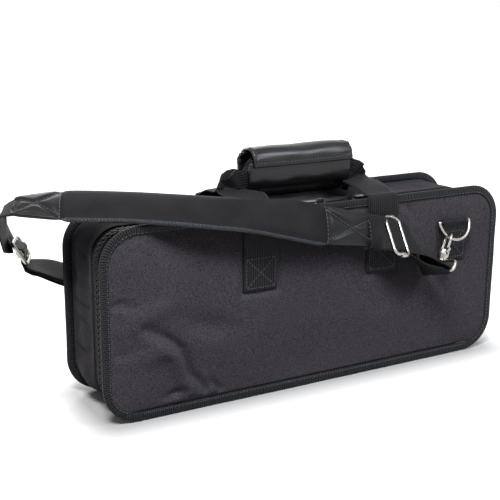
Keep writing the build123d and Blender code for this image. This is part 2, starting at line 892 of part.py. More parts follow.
front_adjuster_at = (
    right_leg_x + front_adjuster_shift,
    front_seam - front_adjuster_stand,
    seam_top - front_adjuster_drop,
)
rear_adjuster_at = (
    -bag_length / 2 - rear_adjuster_reach,
    back_seam + rear_adjuster_stand,
    seam_top - rear_adjuster_drop,
)
front_adjuster_plane = adjuster_plane(front_adjuster_at, front_adjuster_across, front_adjuster_up)
rear_adjuster_plane = adjuster_plane(rear_adjuster_at, rear_adjuster_across, rear_adjuster_up)
adjuster_parts = []
for side_name, side_plane in (("front", front_adjuster_plane), ("rear", rear_adjuster_plane)):
    with BuildPart() as frame_piece:
        adjuster_frame(side_plane)
    frame_piece.part.label = side_name + "_adjuster_frame"
    adjuster_parts.append(frame_piece.part)
    with BuildPart() as bar_piece:
        adjuster_bar(side_plane)
    bar_piece.part.label = side_name + "_adjuster_bar"
    adjuster_parts.append(bar_piece.part)

# Shoulder pad: its crest at stations along the bag, then its back and front edges from there.
# x is a share of the bag's length and y of its depth. The rest are shares of the pad's width.
# Each section is turned about the upright by its angle in degrees.
pad_station_shares = [
    (-0.639, 0.261, 0.50, (0.33, 0.09), (-0.32, -0.11)),
    (-0.553, 0.028, 0.54, (0.44, 0.16), (-0.40, -0.23)),
    (-0.442, -0.288, 0.54, (0.44, 0.15), (-0.40, -0.25)),
    (-0.355, -0.532, 0.49, (0.46, 0.15), (-0.40, -0.26)),
    (-0.281, -0.621, 0.40, (0.44, 0.16), (-0.37, -0.29)),
    (-0.196, -0.672, 0.26, (0.38, 0.21), (-0.29, -0.32)),
    (-0.111, -0.686, 0.09, (0.36, 0.29), (-0.25, -0.39)),
    (-0.014, -0.690, -0.18, (0.22, 0.38), (-0.11, -0.42)),
    (0.119, -0.656, -0.49, (0.10, 0.33), (-0.06, -0.34)),
]
pad_turns = [27, 24, 24, 26, 28, 30, 31, 19, 0]


def pad_plane(station):
    """Upright plane of a station, its origin on the pad's crest."""
    x_share, y_share, z_share = pad_station_shares[station][:3]
    turn = radians(pad_turns[station])
    return Plane(
        origin=(x_share * bag_length, y_share * bag_depth, seam_top + z_share * pad_width),
        x_dir=(sin(turn), cos(turn), 0),
        z_dir=(cos(turn), -sin(turn), 0),
    )


def pad_body(inset):
    """Padded strip lofted through the stations, inset by the cover's thickness."""
    sections = []
    last = len(pad_station_shares) - 1
    for index, station in enumerate(pad_station_shares):
        back, front = station[3:]
        spine = [(across * pad_width, up * pad_width) for across, up in (back, (0, 0), front)]
        halves = [pad_edge / 2 - inset, pad_thickness / 2 - inset, pad_edge / 2 - inset]
        chord = hypot(spine[2][0] - spine[0][0], spine[2][1] - spine[0][1])
        trim = inset / chord
        spine[0] = tuple(a + (b - a) * trim for a, b in zip(spine[0], spine[1]))
        spine[2] = tuple(a + (b - a) * trim for a, b in zip(spine[2], spine[1]))
        outer = []
        inner = []
        for place, (across, up) in enumerate(spine):
            before = spine[max(place - 1, 0)]
            after = spine[min(place + 1, len(spine) - 1)]
            run = hypot(after[0] - before[0], after[1] - before[1])
            normal = ((before[1] - after[1]) / run, (after[0] - before[0]) / run)
            outer.append((across - normal[0] * halves[place], up - normal[1] * halves[place]))
            inner.append((across + normal[0] * halves[place], up + normal[1] * halves[place]))
        shift = inset * ((index == 0) - (index == last))
        with BuildSketch(pad_plane(index).offset(shift)) as drawn:
            with BuildLine():
                Polyline(*outer, *reversed(inner), close=True)
            make_face()
        sections.append(drawn.sketch)
    loft(sections, ruled=True)


with BuildPart() as pad_foam:
    pad_body(pad_cover)
pad_foam.part.label = "pad_foam"

with BuildPart() as shoulder_pad_cover:
    pad_body(0)
    add(pad_foam.part, mode=Mode.SUBTRACT)
shoulder_pad_cover.part.label = "shoulder_pad_cover"


# Strap webbing: flat strands lofted through places along the strap
def strand(places):
    """Webbing through (centre, run, width direction, width) places."""
    sections = []
    for centre, run, across, width in places:
        wide = (across - run * across.dot(run)).normalized()
        with BuildSketch(Plane(origin=centre, x_dir=wide, z_dir=run)) as drawn:
            Rectangle(width, strap_thickness)
        sections.append(drawn.sketch)
    loft(sections, ruled=True)


def tip_place(station, side):
    """Place where the strap leaves the pad's end; side is -1 on the left and 1 on the right."""
    plane = pad_plane(station)
    back, front = pad_station_shares[station][3:]
    across = plane.x_dir * (back[0] - front[0]) + Vector(0, 0, back[1] - front[1])
    return plane.origin + plane.z_dir * seat * side, plane.z_dir * side, across, strap_width


def mirrored(vector):
    """A front vector mirrored to the back."""
    return Vector(vector.X, -vector.Y, vector.Z)


def eye_end(plane, bar, across, down):
    """Run, normal and gap of the strap where it reaches the eye's bar."""
    run = bar - plane.origin
    run = (run - across * run.dot(across)).normalized()
    normal = run.cross(across).normalized()
    return run, normal * (1 if normal.dot(down) < 0 else -1)


def strands(plane, bar, across, down):
    """Places of the two strands between an adjuster and its eye, and the fold."""
    lead = plane.x_dir * strand_lead
    lead_out = plane.x_dir * strand_run
    run, normal = eye_end(plane, bar, across, down)
    clear = strap_thickness / 2 + eye_wire + joint_gap
    lift = adjuster_wire + strap_thickness
    middle = (plane.origin + lead_out + bar) / 2
    middle_run = (bar - plane.origin - lead_out).normalized()
    middle_normal = plane.z_dir + normal
    middle_normal = (middle_normal - middle_run * middle_normal.dot(middle_run)).normalized()
    both = []
    for side in (1, -1):
        both.append(
            [
                (plane.origin - lead + plane.z_dir * lift * side, plane.x_dir, plane.y_dir, strap_width),
                (
                    plane.origin + lead_out + plane.z_dir * lift * side,
                    plane.x_dir,
                    plane.y_dir,
                    strap_width,
                ),
                (
                    middle + middle_normal * strand_gap * side,
                    middle_run,
                    middle_normal.cross(middle_run),
                    strap_width,
                ),
                (bar + normal * clear * side, run, normal.cross(run), strap_fold_width),
            ]
        )
    for angle in strap_fold_angles:
        turn = radians(angle)
        radial = normal * cos(turn) + run * sin(turn)
        tangent = run * cos(turn) - normal * sin(turn)
        both[0].append((bar + radial * clear, tangent, normal.cross(run), strap_fold_width))
    return both


rear_eye_bar = mirrored(eye_bar) + Vector(rear_shift, 0, 0)
front_strands = strands(front_adjuster_plane, eye_bar, eye_across, hook_down)
rear_strands = strands(rear_adjuster_plane, rear_eye_bar, mirrored(eye_across), mirrored(hook_down))
# Places of the strap's bend beyond the pad's left end, as shares of the bag's length and depth.
rear_bow_shares = [
    (-0.651, 0.330, 0.19),
    (-0.655, 0.390, 0.09),
    (-0.643, 0.500, -0.07),
]
rear_bow_wide = Vector(0.44, 0.88, 0.1)
rear_bow = [
    Vector(x * bag_length, y * bag_depth, seam_top + z * bag_depth) for x, y, z in rear_bow_shares
]
rear_ends = [tip_place(0, -1)[0]] + rear_bow + [rear_strands[0][0][0]]
rear_bow_places = [
    (rear_ends[i], (rear_ends[i + 1] - rear_ends[i - 1]).normalized(), rear_bow_wide, strap_width)
    for i in range(1, len(rear_ends) - 1)
]

with BuildPart() as front_strap_web:
    strand([tip_place(-1, 1)] + front_strands[0])
front_strap_web.part.label = "front_strap_web"

with BuildPart() as front_strap_loop:
    strand(front_strands[1])
front_strap_loop.part.label = "front_strap_loop"

with BuildPart() as rear_strap_web:
    strand([tip_place(0, -1)] + rear_bow_places + rear_strands[0])
rear_strap_web.part.label = "rear_strap_web"

with BuildPart() as rear_strap_loop:
    strand(rear_strands[1])
rear_strap_loop.part.label = "rear_strap_loop"

finished_parts = [
    front_panel_cover.part,
    front_foam.part,
    front_binding.part,
    front_gusset_rim.part,
    rim_foam.part,
    lid_lining.part,
    back_panel_cover.part,
    back_foam.part,
    back_binding.part,
    base_binding.part,
    rear_gusset.part,
    gusset_foam.part,
    body_lining.part,
    base_foam.part,
    base_gusset.part,
    base_lining.part,
    zip_tape_front.part,
    zip_tape_rear.part,
    zip_teeth_front.part,
    zip_teeth_rear.part,
    left_zip_slider.part,
    right_zip_slider.part,
    left_pull_tab.part,
    right_pull_tab.part,
    front_handle.part,
    back_handle.part,
    grip_wrap.part,
    grip_flap.part,
    pad_foam.part,
    shoulder_pad_cover.part,
    front_strap_web.part,
    front_strap_loop.part,
    rear_strap_web.part,
    rear_strap_loop.part,
    *hardware_parts,
    *adjuster_parts,
]
for finished in finished_parts:
    export_step(finished, "parts/" + finished.label + ".step")
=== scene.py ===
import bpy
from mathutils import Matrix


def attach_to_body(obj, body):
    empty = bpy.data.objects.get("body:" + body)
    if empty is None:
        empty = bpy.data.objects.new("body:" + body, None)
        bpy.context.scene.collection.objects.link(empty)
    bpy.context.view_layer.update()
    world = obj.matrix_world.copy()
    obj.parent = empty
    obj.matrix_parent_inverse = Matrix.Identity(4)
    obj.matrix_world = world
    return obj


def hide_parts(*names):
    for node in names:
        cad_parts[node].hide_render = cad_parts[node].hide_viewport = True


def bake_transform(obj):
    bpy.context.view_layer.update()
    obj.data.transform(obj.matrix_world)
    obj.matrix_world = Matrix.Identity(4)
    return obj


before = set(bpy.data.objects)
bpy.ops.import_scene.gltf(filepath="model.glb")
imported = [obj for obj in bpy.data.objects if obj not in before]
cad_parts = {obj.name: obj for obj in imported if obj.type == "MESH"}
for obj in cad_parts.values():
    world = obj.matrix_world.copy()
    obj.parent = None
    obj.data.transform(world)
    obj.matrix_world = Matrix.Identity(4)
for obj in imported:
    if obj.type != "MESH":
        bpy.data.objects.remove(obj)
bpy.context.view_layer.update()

# %% [markdown]
# # Dressing a padded gig bag
#
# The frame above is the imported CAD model. Its metal and zip pieces keep their shape and
# only get materials. Everything soft is built again here as cloth, webbing, leather or
# padding, in metres, in the frame's own coordinates: +X runs along the bag, -Y points out
# of the front panel and +Z is up.

# %% Tools and measures
import math

import bmesh
import bpy
import numpy as np
from mathutils import Matrix, Vector, noise

MM = 0.001
half_core, half_core_high = 210 * MM, 60.5 * MM
corner = 30 * MM
middle = 100.5 * MM
flange = 9.5 * MM
front_seam, back_seam = -49.5 * MM, 49.5 * MM
quarter = corner * math.pi / 2
side_run, top_run = 2 * half_core_high, 2 * half_core
arch = 4 * quarter + 2 * side_run + top_run
full_ring = arch + top_run
print("seam arch", round(arch, 4), "closed seam", round(full_ring, 4))

# %% [markdown]
# ## The seam line
#
# On the real bag one seam joins each panel to the wall, and it runs round a rectangle with
# rounded corners. It could be a curve object that each piece copies. A function is used
# instead, because every wall, tape and binding needs the same thing from it: a point at a
# given length along the seam, and the direction that points out of the bag there.


# %% A point on the seam
def seam(s):
    """((x, z), (outward x, outward z)) at distance s from the left foot, over the top."""
    s = s % full_ring
    turns = [
        (quarter, (-half_core, -half_core_high), -math.pi / 2),
        (side_run, (-half_core - corner, -half_core_high), (0, 1), (-1, 0)),
        (quarter, (-half_core, half_core_high), -math.pi),
        (top_run, (-half_core, half_core_high + corner), (1, 0), (0, 1)),
        (quarter, (half_core, half_core_high), math.pi / 2),
        (side_run, (half_core + corner, half_core_high), (0, -1), (1, 0)),
        (quarter, (half_core, -half_core_high), 0.0),
        (top_run, (half_core, -half_core_high - corner), (-1, 0), (0, -1)),
    ]
    for turn in turns:
        if s <= turn[0] or turn is turns[-1]:
            break
        s -= turn[0]
    if len(turn) == 3:
        angle = turn[2] - s / corner
        out = (math.cos(angle), math.sin(angle))
        return (turn[1][0] + corner * out[0], middle + turn[1][1] + corner * out[1]), out
    start, along, out = turn[1:]
    return (start[0] + along[0] * s, middle + start[1] + along[1] * s), out


def ripple(x, y, z=0.0, scale=20.0, seed=0.0):
    """Smooth noise between about -1 and 1."""
    return noise.noise(Vector((x, y, z)) * scale + Vector((seed, seed * 1.7, -seed)))


print("left foot", seam(0), "top middle", seam(2 * quarter + side_run + top_run / 2))

# %% [markdown]
# ## Mesh builders
#
# A sewer cuts few kinds of piece: walls that follow the seam, webbing, pads and wraps.
# Modifiers on primitives could stand in for them, but their corners and ends are hard to
# place. Each kind gets a builder that writes its points instead. `band` sweeps a profile
# along the seam, `strip` runs webbing through space, `quilt` closes a pad out of two
# surfaces over a grid, and `sweep_x` pulls a section along the bag. Webbing and leather
# also get UVs in metres, across and along, so that ribs follow the material.


# %% A named mesh
def piece(name, verts, faces, material, body=None, uvs=None):
    """A mesh object, with per-vertex UVs if given, riding on a body."""
    mesh = bpy.data.meshes.new(name)
    mesh.from_pydata([tuple(v) for v in verts], [], faces)
    if uvs is not None:
        layer = mesh.uv_layers.new(name="UVMap")
        for loop in mesh.loops:
            layer.data[loop.index].uv = uvs[loop.vertex_index]
    mesh.polygons.foreach_set("use_smooth", [True] * len(mesh.polygons))
    mesh.materials.append(material)
    obj = bpy.data.objects.new(name, mesh)
    bpy.context.scene.collection.objects.link(obj)
    mesh.update()
    if body:
        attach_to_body(obj, body)
    return obj


print("meshes so far", len(bpy.data.meshes))

# %% [markdown]
# ### Rings and flat profiles
#
# Walls, webbing and wraps are all tubes: one section repeated along a path, with each ring
# joined to the next. A bevelled curve would make them too, but gives little hold on the
# ends. So the faces are numbered here. Cut cloth has no sharp edge, so a flat layer's
# section gets its corners eased.


# %% Rings and profiles
def rings_to_faces(count, size, closed):
    """Quads between successive rings of equal size, with caps where the run is open."""
    faces = []
    for i in range(count if closed else count - 1):
        a, b = i * size, ((i + 1) % count) * size
        for j in range(size):
            k = (j + 1) % size
            faces.append((a + j, a + k, b + k, b + j))
    if not closed:
        faces.append(tuple(reversed(range(size))))
        faces.append(tuple(range((count - 1) * size, count * size)))
    return faces


def slab_profile(y0, y1, g0, g1, cell=4 * MM):
    """Closed (y, grow) profile of a flat layer, with its four corners eased."""
    ease = min(abs(g0 - g1), y1 - y0) * 0.25
    n = max(2, round((y1 - y0) / cell))
    top = [(y0 + ease + (y1 - y0 - 2 * ease) * i / n, g0) for i in range(n + 1)]
    under = [(y, g1) for y, _ in reversed(top)]
    high, low = max(g0, g1) - ease, min(g0, g1) + ease
    sides = (high, low) if g0 > g1 else (low, high)
    return top + [(y1, sides[0]), (y1, sides[1])] + under + [(y0, sides[1]), (y0, sides[0])]


print("faces of a tube of three square rings", len(rings_to_faces(3, 4, False)))

# %% [markdown]
# ### Bands along the seam
#
# The gusset, its rim, the zip tapes and the bindings are long strips sewn to the seam. A
# flat strip bent by a modifier would stretch at the corners. `band` sets its profile at
# each step along the seam instead. The profile's second number, grow, says how far a
# point lies outside the seam.


# %% Bands
def band(name, profile, material, body, s0=0.0, s1=arch, step=3.5 * MM, warp=None, closed=False):
    """Sweeps a closed profile of (y, grow) along the seam."""
    n = max(3, round((s1 - s0) / step))
    verts, uvs = [], []
    for i in range(n if closed else n + 1):
        s = s0 + (s1 - s0) * i / n
        (x, z), (ox, oz) = seam(s)
        for y, grow in profile:
            dy, dg = warp(s, y, grow) if warp else (0, 0)
            verts.append((x + ox * (grow + dg), y + dy, z + oz * (grow + dg)))
            uvs.append((y, s))
    faces = rings_to_faces(n if closed else n + 1, len(profile), closed)
    return piece(name, verts, faces, material, body, uvs)


print("rings in a band round the arch", round(arch / (3.5 * MM)) + 1)

# %% [markdown]
# ### Webbing
#
# Webbing keeps its width and bends across its face. A bevelled curve would need a twist
# for every point. `strip` takes rows that hold a point, a width direction and a width. It
# runs a smooth line through them and turns each section square to that line.


# %% Webbing
def spline(points, step):
    """Catmull-Rom points through rows of numbers, spaced by about step on the first three."""
    rows = np.array(points, float)
    rows = np.vstack([2 * rows[0] - rows[1], rows, 2 * rows[-1] - rows[-2]])
    out = []
    for i in range(1, len(rows) - 2):
        p0, p1, p2, p3 = rows[i - 1 : i + 3]
        n = max(1, round(np.linalg.norm((p2 - p1)[:3]) / step))
        for t in np.arange(n) / n:
            out.append(
                0.5
                * (
                    2 * p1
                    + (p2 - p0) * t
                    + (2 * p0 - 5 * p1 + 4 * p2 - p3) * t * t
                    + (3 * p1 - p0 - 3 * p2 + p3) * t**3
                )
            )
    return np.array(out + [rows[-2]])


def strip(name, route, material, body, thick=2.2 * MM, step=2 * MM, across=14, wave=0.0):
    """Webbing along route rows (x, y, z, wide x, wide y, wide z, width), all in metres."""
    route = [list(row) for row in route]
    for last, row in zip(route, route[1:]):
        if Vector(last[3:6]).dot(Vector(row[3:6])) < 0:
            row[3:6] = [-v for v in row[3:6]]
    rows = spline(route, step)
    verts, uvs, run = [], [], 0.0
    for i, row in enumerate(rows):
        before, after = rows[max(i - 1, 0)], rows[min(i + 1, len(rows) - 1)]
        tangent = Vector(after[:3] - before[:3]).normalized()
        wide = Vector(row[3:6])
        wide = (wide - tangent * wide.dot(tangent)).normalized()
        normal = tangent.cross(wide)
        if i:
            run += float(np.linalg.norm(row[:3] - rows[i - 1][:3]))
        half = row[6] / 2
        for k in range(2 * across):
            upper = k < across
            t = (k if upper else 2 * across - 1 - k) / (across - 1) * 2 - 1
            edge = max(0.0, (abs(t) - 0.93) / 0.07)
            lift = thick / 2 * math.sqrt(max(0.0, 1 - edge * edge * 0.8)) * (1 if upper else -1)
            lift += wave * ripple(run, t * half * 1.5, scale=45, seed=row[6] * 99)
            verts.append(Vector(row[:3]) + wide * t * half + normal * lift)
            uvs.append((t * half, run))
    return piece(name, verts, rings_to_faces(len(rows), 2 * across, False), material, body, uvs)


print("points on a test line of 100 mm", len(spline([(0, 0, 0), (0.1, 0, 0)], 2 * MM)))

# %% [markdown]
# ### Quilted pads
#
# Panels, linings and the base have an outer and an inner face of different shape, so an
# even thickness put on one sheet wouldn't do. `quilt` keeps the cells of a grid that lie
# inside an outline, lays both faces over them and joins the two round the rim.


# %% Quilted pads
def quilt(name, a_line, b_line, inside, outer, inner, material, body):
    """Closed pad over grid cells that are inside: outer and inner give its two surfaces."""
    cells = [
        (i, j)
        for i in range(len(a_line) - 1)
        for j in range(len(b_line) - 1)
        if all(inside(a_line[i + u], b_line[j + v]) for u in (0, 1) for v in (0, 1))
    ]
    used = sorted({(i + u, j + v) for i, j in cells for u in (0, 1) for v in (0, 1)})
    place = {key: n for n, key in enumerate(used)}
    count = len(used)
    verts = [outer(a_line[i], b_line[j]) for i, j in used]
    verts += [inner(a_line[i], b_line[j]) for i, j in used]
    faces, edges = [], {}
    for i, j in cells:
        loop = [place[i, j], place[i + 1, j], place[i + 1, j + 1], place[i, j + 1]]
        faces.append(tuple(loop))
        faces.append(tuple(count + v for v in reversed(loop)))
        for v, w in zip(loop, loop[1:] + loop[:1]):
            if (w, v) in edges:
                del edges[w, v]
            else:
                edges[v, w] = True
    faces += [(w, v, v + count, w + count) for v, w in edges]
    return piece(name, verts, faces, material, body)


print("quilt builder ready")

# %% [markdown]
# ### Wraps and cords
#
# The hand grip is leather wrapped round a straight run of webbing, and the pad's edge is
# rolled into a cord. Both could be bevelled curves. Written out, the wrap can be warped
# point by point, and the cord can be thinned at its ends.


# %% Wraps and cords
def sweep_x(name, loop, x0, x1, material, body, step=3 * MM, warp=None):
    """Pulls a closed (y, z) section from x0 to x1, warped by warp(x, y, z)."""
    n = round((x1 - x0) / step)
    length = [0.0]
    for (y0, z0), (y1, z1) in zip(loop, loop[1:]):
        length.append(length[-1] + math.hypot(y1 - y0, z1 - z0))
    verts, uvs = [], []
    for i in range(n + 1):
        x = x0 + (x1 - x0) * i / n
        for (y, z), run in zip(loop, length):
            verts.append(warp(x, y, z) if warp else (x, y, z))
            uvs.append((x, run))
    return piece(name, verts, rings_to_faces(n + 1, len(loop), False), material, body, uvs)


def rope(name, points, radius, material, body, sides=10):
    """A round cord along points, with UVs round it and along it."""
    verts, uvs, run = [], [], 0.0
    for i, spot in enumerate(points):
        tangent = (points[min(i + 1, len(points) - 1)] - points[max(i - 1, 0)]).normalized()
        side = tangent.cross(Vector((0, 0, 1))).normalized()
        up = side.cross(tangent)
        if i:
            run += (spot - points[i - 1]).length
        fat = radius * min(1.0, 0.15 + min(i, len(points) - 1 - i) * 0.3)
        for k in range(sides):
            turn = 2 * math.pi * k / sides
            verts.append(spot + (side * math.cos(turn) + up * math.sin(turn)) * fat)
            uvs.append((turn * radius, run))
    return piece(name, verts, rings_to_faces(len(points), sides, False), material, body, uvs)


print("wrap and cord builders ready")

# %% [markdown]
# ### Stitches
#
# Each stitch is a short bit of thread that dives into the cloth at both ends. A dashed
# texture would lie flat and vanish from the side. So each stitch is a small spindle with
# four rings, laid along its row and sunk a little.

# %% Stitches
stitch_length, stitch_gap, stitch_radius = 2.9 * MM, 1.3 * MM, 0.36 * MM
spindle = ((0, 0.25), (0.2, 0.9), (0.8, 0.9), (1, 0.25))


def stitches(name, rows, material, body):
    """Rows of single thread stitches; a row is (points, normals) along a seam."""
    verts, faces = [], []
    for points, normals in rows:
        points = [Vector(p) for p in points]
        left = stitch_gap
        for i in range(len(points) - 1):
            a, b = points[i], points[i + 1]
            along = b - a
            size = along.length
            if size < 1e-7:
                continue
            along = along / size
            while left + stitch_length < size + stitch_gap:
                up = (Vector(normals[i]) - along * Vector(normals[i]).dot(along)).normalized()
                side = along.cross(up)
                base = len(verts)
                for share, fat in spindle:
                    centre = a + along * (left + stitch_length * share)
                    centre = centre + up * stitch_radius * (fat - 0.35)
                    for k in range(6):
                        turn = k * math.pi / 3
                        verts.append(
                            centre
                            + (side * math.cos(turn) + up * math.sin(turn)) * stitch_radius * fat
                        )
                faces += [tuple(base + v for v in f) for f in rings_to_faces(4, 6, False)]
                left += stitch_length + stitch_gap
            left -= size
    return piece(name, verts, faces, material, body)


print("stitch pitch in mm", round((stitch_length + stitch_gap) / MM, 2))

# %% [markdown]
# ### Swelling and refining
#
# Padding pushes its cover out most where nothing is sewn. A formula can crown a panel,
# but doesn't know how cloth shares out its stretch. So Blender's Cloth swells the mesh
# under pressure, with the sewn points pinned and each point's move capped. `finer` splits
# the faces afterwards, so that small folds have points to use.


# %% Swelling and refining
def inflate(obj, pinned, pressure, frames, cap, stiff=15.0):
    """Swells a closed mesh by Cloth simulation, caps each point's move and keeps the result."""
    mesh = obj.data
    rest = np.array([v.co for v in mesh.vertices])
    group = obj.vertex_groups.new(name="pin")
    group.add([int(i) for i in pinned], 1.0, "REPLACE")
    cloth = obj.modifiers.new("Cloth", "CLOTH")
    cloth.settings.quality = 5
    cloth.settings.mass = 0.3
    cloth.settings.tension_stiffness = stiff
    cloth.settings.compression_stiffness = stiff
    cloth.settings.bending_stiffness = 2.0
    cloth.settings.use_pressure = True
    cloth.settings.uniform_pressure_force = pressure
    cloth.settings.vertex_group_mass = "pin"
    cloth.settings.effector_weights.gravity = 0.0
    scene = bpy.context.scene
    for step in range(1, frames + 1):
        scene.frame_set(step)
    shaped = obj.evaluated_get(bpy.context.evaluated_depsgraph_get()).data
    moved = np.array([v.co for v in shaped.vertices]) - rest
    reach = np.linalg.norm(moved, axis=1, keepdims=True)
    moved *= np.minimum(1.0, cap / np.maximum(reach, 1e-9))
    mesh.vertices.foreach_set("co", (rest + moved).astype(np.float32).ravel())
    obj.modifiers.remove(cloth)
    obj.vertex_groups.remove(group)
    scene.frame_set(1)
    mesh.update()
    print(obj.name, "swelled by up to", round(float(reach.max()) * 1000, 2), "mm")


def finer(obj):
    """Splits each face of obj in four and keeps the rounded result."""
    split = obj.modifiers.new("Finer", "SUBSURF")
    split.levels = split.render_levels = 1
    view = bpy.context.evaluated_depsgraph_get()
    obj.data = bpy.data.meshes.new_from_object(
        obj.evaluated_get(view), preserve_all_data_layers=True, depsgraph=view
    )
    obj.modifiers.remove(split)


print("swelling is left out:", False)

# %% [markdown]
# ## Shader maths
#
# A weave is a pattern of waves, and waves are arithmetic. Written as nodes and links, each
# sum takes four lines. `Wire` wraps one socket of a material's node tree, so that
# arithmetic on wires adds Math nodes. Its `node` method adds any other kind: names with a
# capital are inputs and names in small letters are settings.


# %% Wire, the shader maths class
class Wire:
    """A value inside a material's node tree."""

    def __init__(self, tree, out=None):
        self.tree, self.out = tree, out

    def node(self, kind, out=0, **options):
        made = self.tree.nodes.new("ShaderNode" + kind)
        for key, value in options.items():
            if key[0].islower():
                setattr(made, key, value)
        for key, value in options.items():
            if key[0].islower():
                continue
            spot = made.inputs[int(key[1:]) if key[1:].isdigit() else key.replace("_", " ")]
            if isinstance(value, Wire):
                self.tree.links.new(value.out, spot)
            else:
                spot.default_value = value
        return Wire(self.tree, made.outputs[out])

    def maths(self, operation, a, b=0.0):
        return self.node("Math", operation=operation, I0=a, I1=b)

    def __add__(self, other):
        return self.maths("ADD", self, other)

    def __sub__(self, other):
        return self.maths("SUBTRACT", self, other)

    def __rsub__(self, other):
        return self.maths("SUBTRACT", other, self)

    def __mul__(self, other):
        return self.maths("MULTIPLY", self, other)

    def __truediv__(self, other):
        return self.maths("DIVIDE", self, other)

    def __rtruediv__(self, other):
        return self.maths("DIVIDE", other, self)

    def __pow__(self, other):
        return self.maths("POWER", self, other)

    __radd__ = __add__
    __rmul__ = __mul__

    def sin(self):
        return self.maths("SINE", self)

    def wave(self, pitch, shift=0.0):
        """A sine from 0 to 1 that repeats every pitch metres."""
        return (self * (2 * math.pi / pitch) + shift).sin() * 0.5 + 0.5

    def mix(self, low, high):
        """The colour between low and high at this share."""
        return self.node("Mix", data_type="RGBA", I0=self, I6=low, I7=high, out=2)

    def ramp(self, low, high):
        """This value spread from low..high to 0..1, and held there."""
        return self.node("MapRange", Value=self, From_Min=low, From_Max=high, clamp=True)


print("named operations in Wire", len([name for name in dir(Wire) if name[0] != "_"]))

# %% [markdown]
# ### Colours and material starts
#
# Colours are noted as they look on a screen, 0 to 255, and the shader needs them linear.
# Every material begins in the same way, with a principled shader and its coordinates as
# three wires. `attach` then joins colour, roughness and bump to it, where they are given.


# %% Colours and materials
def colour(value):
    """Linear colour of an sRGB 0-255 triple."""
    shares = [v / 255 for v in value]
    return [v / 12.92 if v <= 0.04045 else ((v + 0.055) / 1.055) ** 2.4 for v in shares] + [1.0]


def material(name, coords="Object", **shader):
    """A principled material, its shader's node and its coordinates split into three wires."""
    made = bpy.data.materials.new(name)
    made.use_nodes = True
    tree = made.node_tree
    bsdf = tree.nodes["Principled BSDF"]
    for key, value in shader.items():
        bsdf.inputs[key.replace("_", " ")].default_value = value
    start = Wire(tree)
    spot = start.node("TexCoord", out=coords)
    parts = [start.node("SeparateXYZ", Vector=spot, out=i) for i in range(3)]
    return made, bsdf, spot, parts


def attach(bsdf, base=None, rough=None, height=None, strength=0.5, distance=0.0003):
    """Joins colour, roughness and bump to a shader."""
    for key, wire in (("Base Color", base), ("Roughness", rough)):
        if wire is not None:
            wire.tree.links.new(wire.out, bsdf.inputs[key])
    if height is not None:
        bump = height.node("Bump", Strength=strength, Distance=distance, Height=height, out=0)
        height.tree.links.new(bump.out, bsdf.inputs["Normal"])


print("middle grey", round(colour((128, 128, 128))[0], 3))

# %% [markdown]
# ## Materials
#
# All of it is black, so what tells one material from another is how it takes the light.
# The photograph shows a matt coarse weave on the panels, ribbed webbing, a shinier tape on
# the flanges, satin leatherette on the shoulder pad, glossy leather on the grip and bright
# nickel on the hooks. Image textures would need pictures, so each one is worked out from
# waves, noise and cells, in real sizes: ribs 2 to 3 mm apart and threads under 1 mm.


# %% Cloth materials
def woven(name, dark, light, pitch, rough, strength):
    """A plain weave seen from any side: threads cross, and single threads differ."""
    made, bsdf, spot, (x, y, z) = material(name, Sheen_Weight=0.03, Sheen_Roughness=0.5)
    bsdf.inputs["Specular IOR Level"].default_value = 0.06
    threads = (x.wave(pitch) + y.wave(pitch, 1.0) + z.wave(pitch, 2.0)) / 3
    speck = x.node("TexNoise", Vector=spot, Scale=900.0, Detail=3.0, Roughness=0.7)
    cloud = x.node("TexNoise", Vector=spot, Scale=9.0, Detail=2.0)
    share = (speck * 1.6 - 0.3) * 0.88 + cloud * 0.12
    base = share.ramp(0.25, 0.75).mix(dark, light)
    roughness = speck * 0.12 + rough
    attach(bsdf, base, roughness, threads * 0.6 + speck * 0.7, strength, 0.0003)
    return made


def ribbed(name, dark, light, pitch, rough, strength, slant=0.0, shine=0.08):
    """Webbing or tape whose ribs run along it, from UVs across and along in metres."""
    made, bsdf, spot, (u, v, _) = material(name, "UV", Sheen_Weight=0.04, Sheen_Roughness=0.4)
    bsdf.inputs["Specular IOR Level"].default_value = shine
    ribs = (u + v * slant).wave(pitch)
    picks = (v * (2 * math.pi / (pitch * 0.55)) + (u * (math.pi / pitch)).sin() * 3).sin()
    picks = picks * 0.5 + 0.5
    speck = u.node("TexNoise", Vector=spot, Scale=420.0, Detail=3.0, Roughness=0.7)
    base = (ribs * 0.55 + picks * 0.2 + speck * 0.35).ramp(0.25, 0.9).mix(dark, light)
    attach(bsdf, base, speck * 0.15 + rough, ribs + picks * 0.35 + speck * 0.3, strength, 0.0005)
    return made


panel_cloth = woven("panel_cloth", colour((27, 25, 28)), colour((75, 71, 77)), 0.9 * MM, 0.75, 0.3)
# Painted shade: the wall's cloth is the panel cloth made darker, to offset how brightly the lamps
# light the gusset's top and ends.
shaded_gusset_cloth = woven("shaded_gusset_cloth", colour((19, 18, 20)), colour((54, 51, 56)), 0.9 * MM, 0.75, 0.3)
lining_cloth = woven(
    "lining_cloth", colour((20, 20, 22)), colour((38, 38, 41)), 0.45 * MM, 0.6, 0.2
)
tape_cloth = woven("zip_tape", colour((10, 10, 11)), colour((34, 34, 37)), 0.7 * MM, 0.7, 0.35)
webbing = ribbed("webbing", colour((6, 6, 7)), colour((44, 44, 48)), 2.7 * MM, 0.5, 0.8)
strap_web = ribbed("strap_webbing", colour((8, 8, 9)), colour((38, 38, 41)), 1.9 * MM, 0.5, 0.4)
binding = ribbed(
    "binding_tape", colour((7, 7, 8)), colour((46, 47, 51)), 2.2 * MM, 0.36, 0.8, 0.5, 0.1
)
# Partly painted sheen: the ribs are real, but their light tone is made bluish and lighter to stand
# in for the shine along the rolled edge.
pad_edge_ribs_and_sheen = ribbed(
    "pad_edge_ribs_and_sheen", colour((8, 9, 12)), colour((46, 50, 62)), 3.2 * MM, 0.28, 1.0, 1.0, 0.3
)

print("cloths and webbings", len(bpy.data.materials))

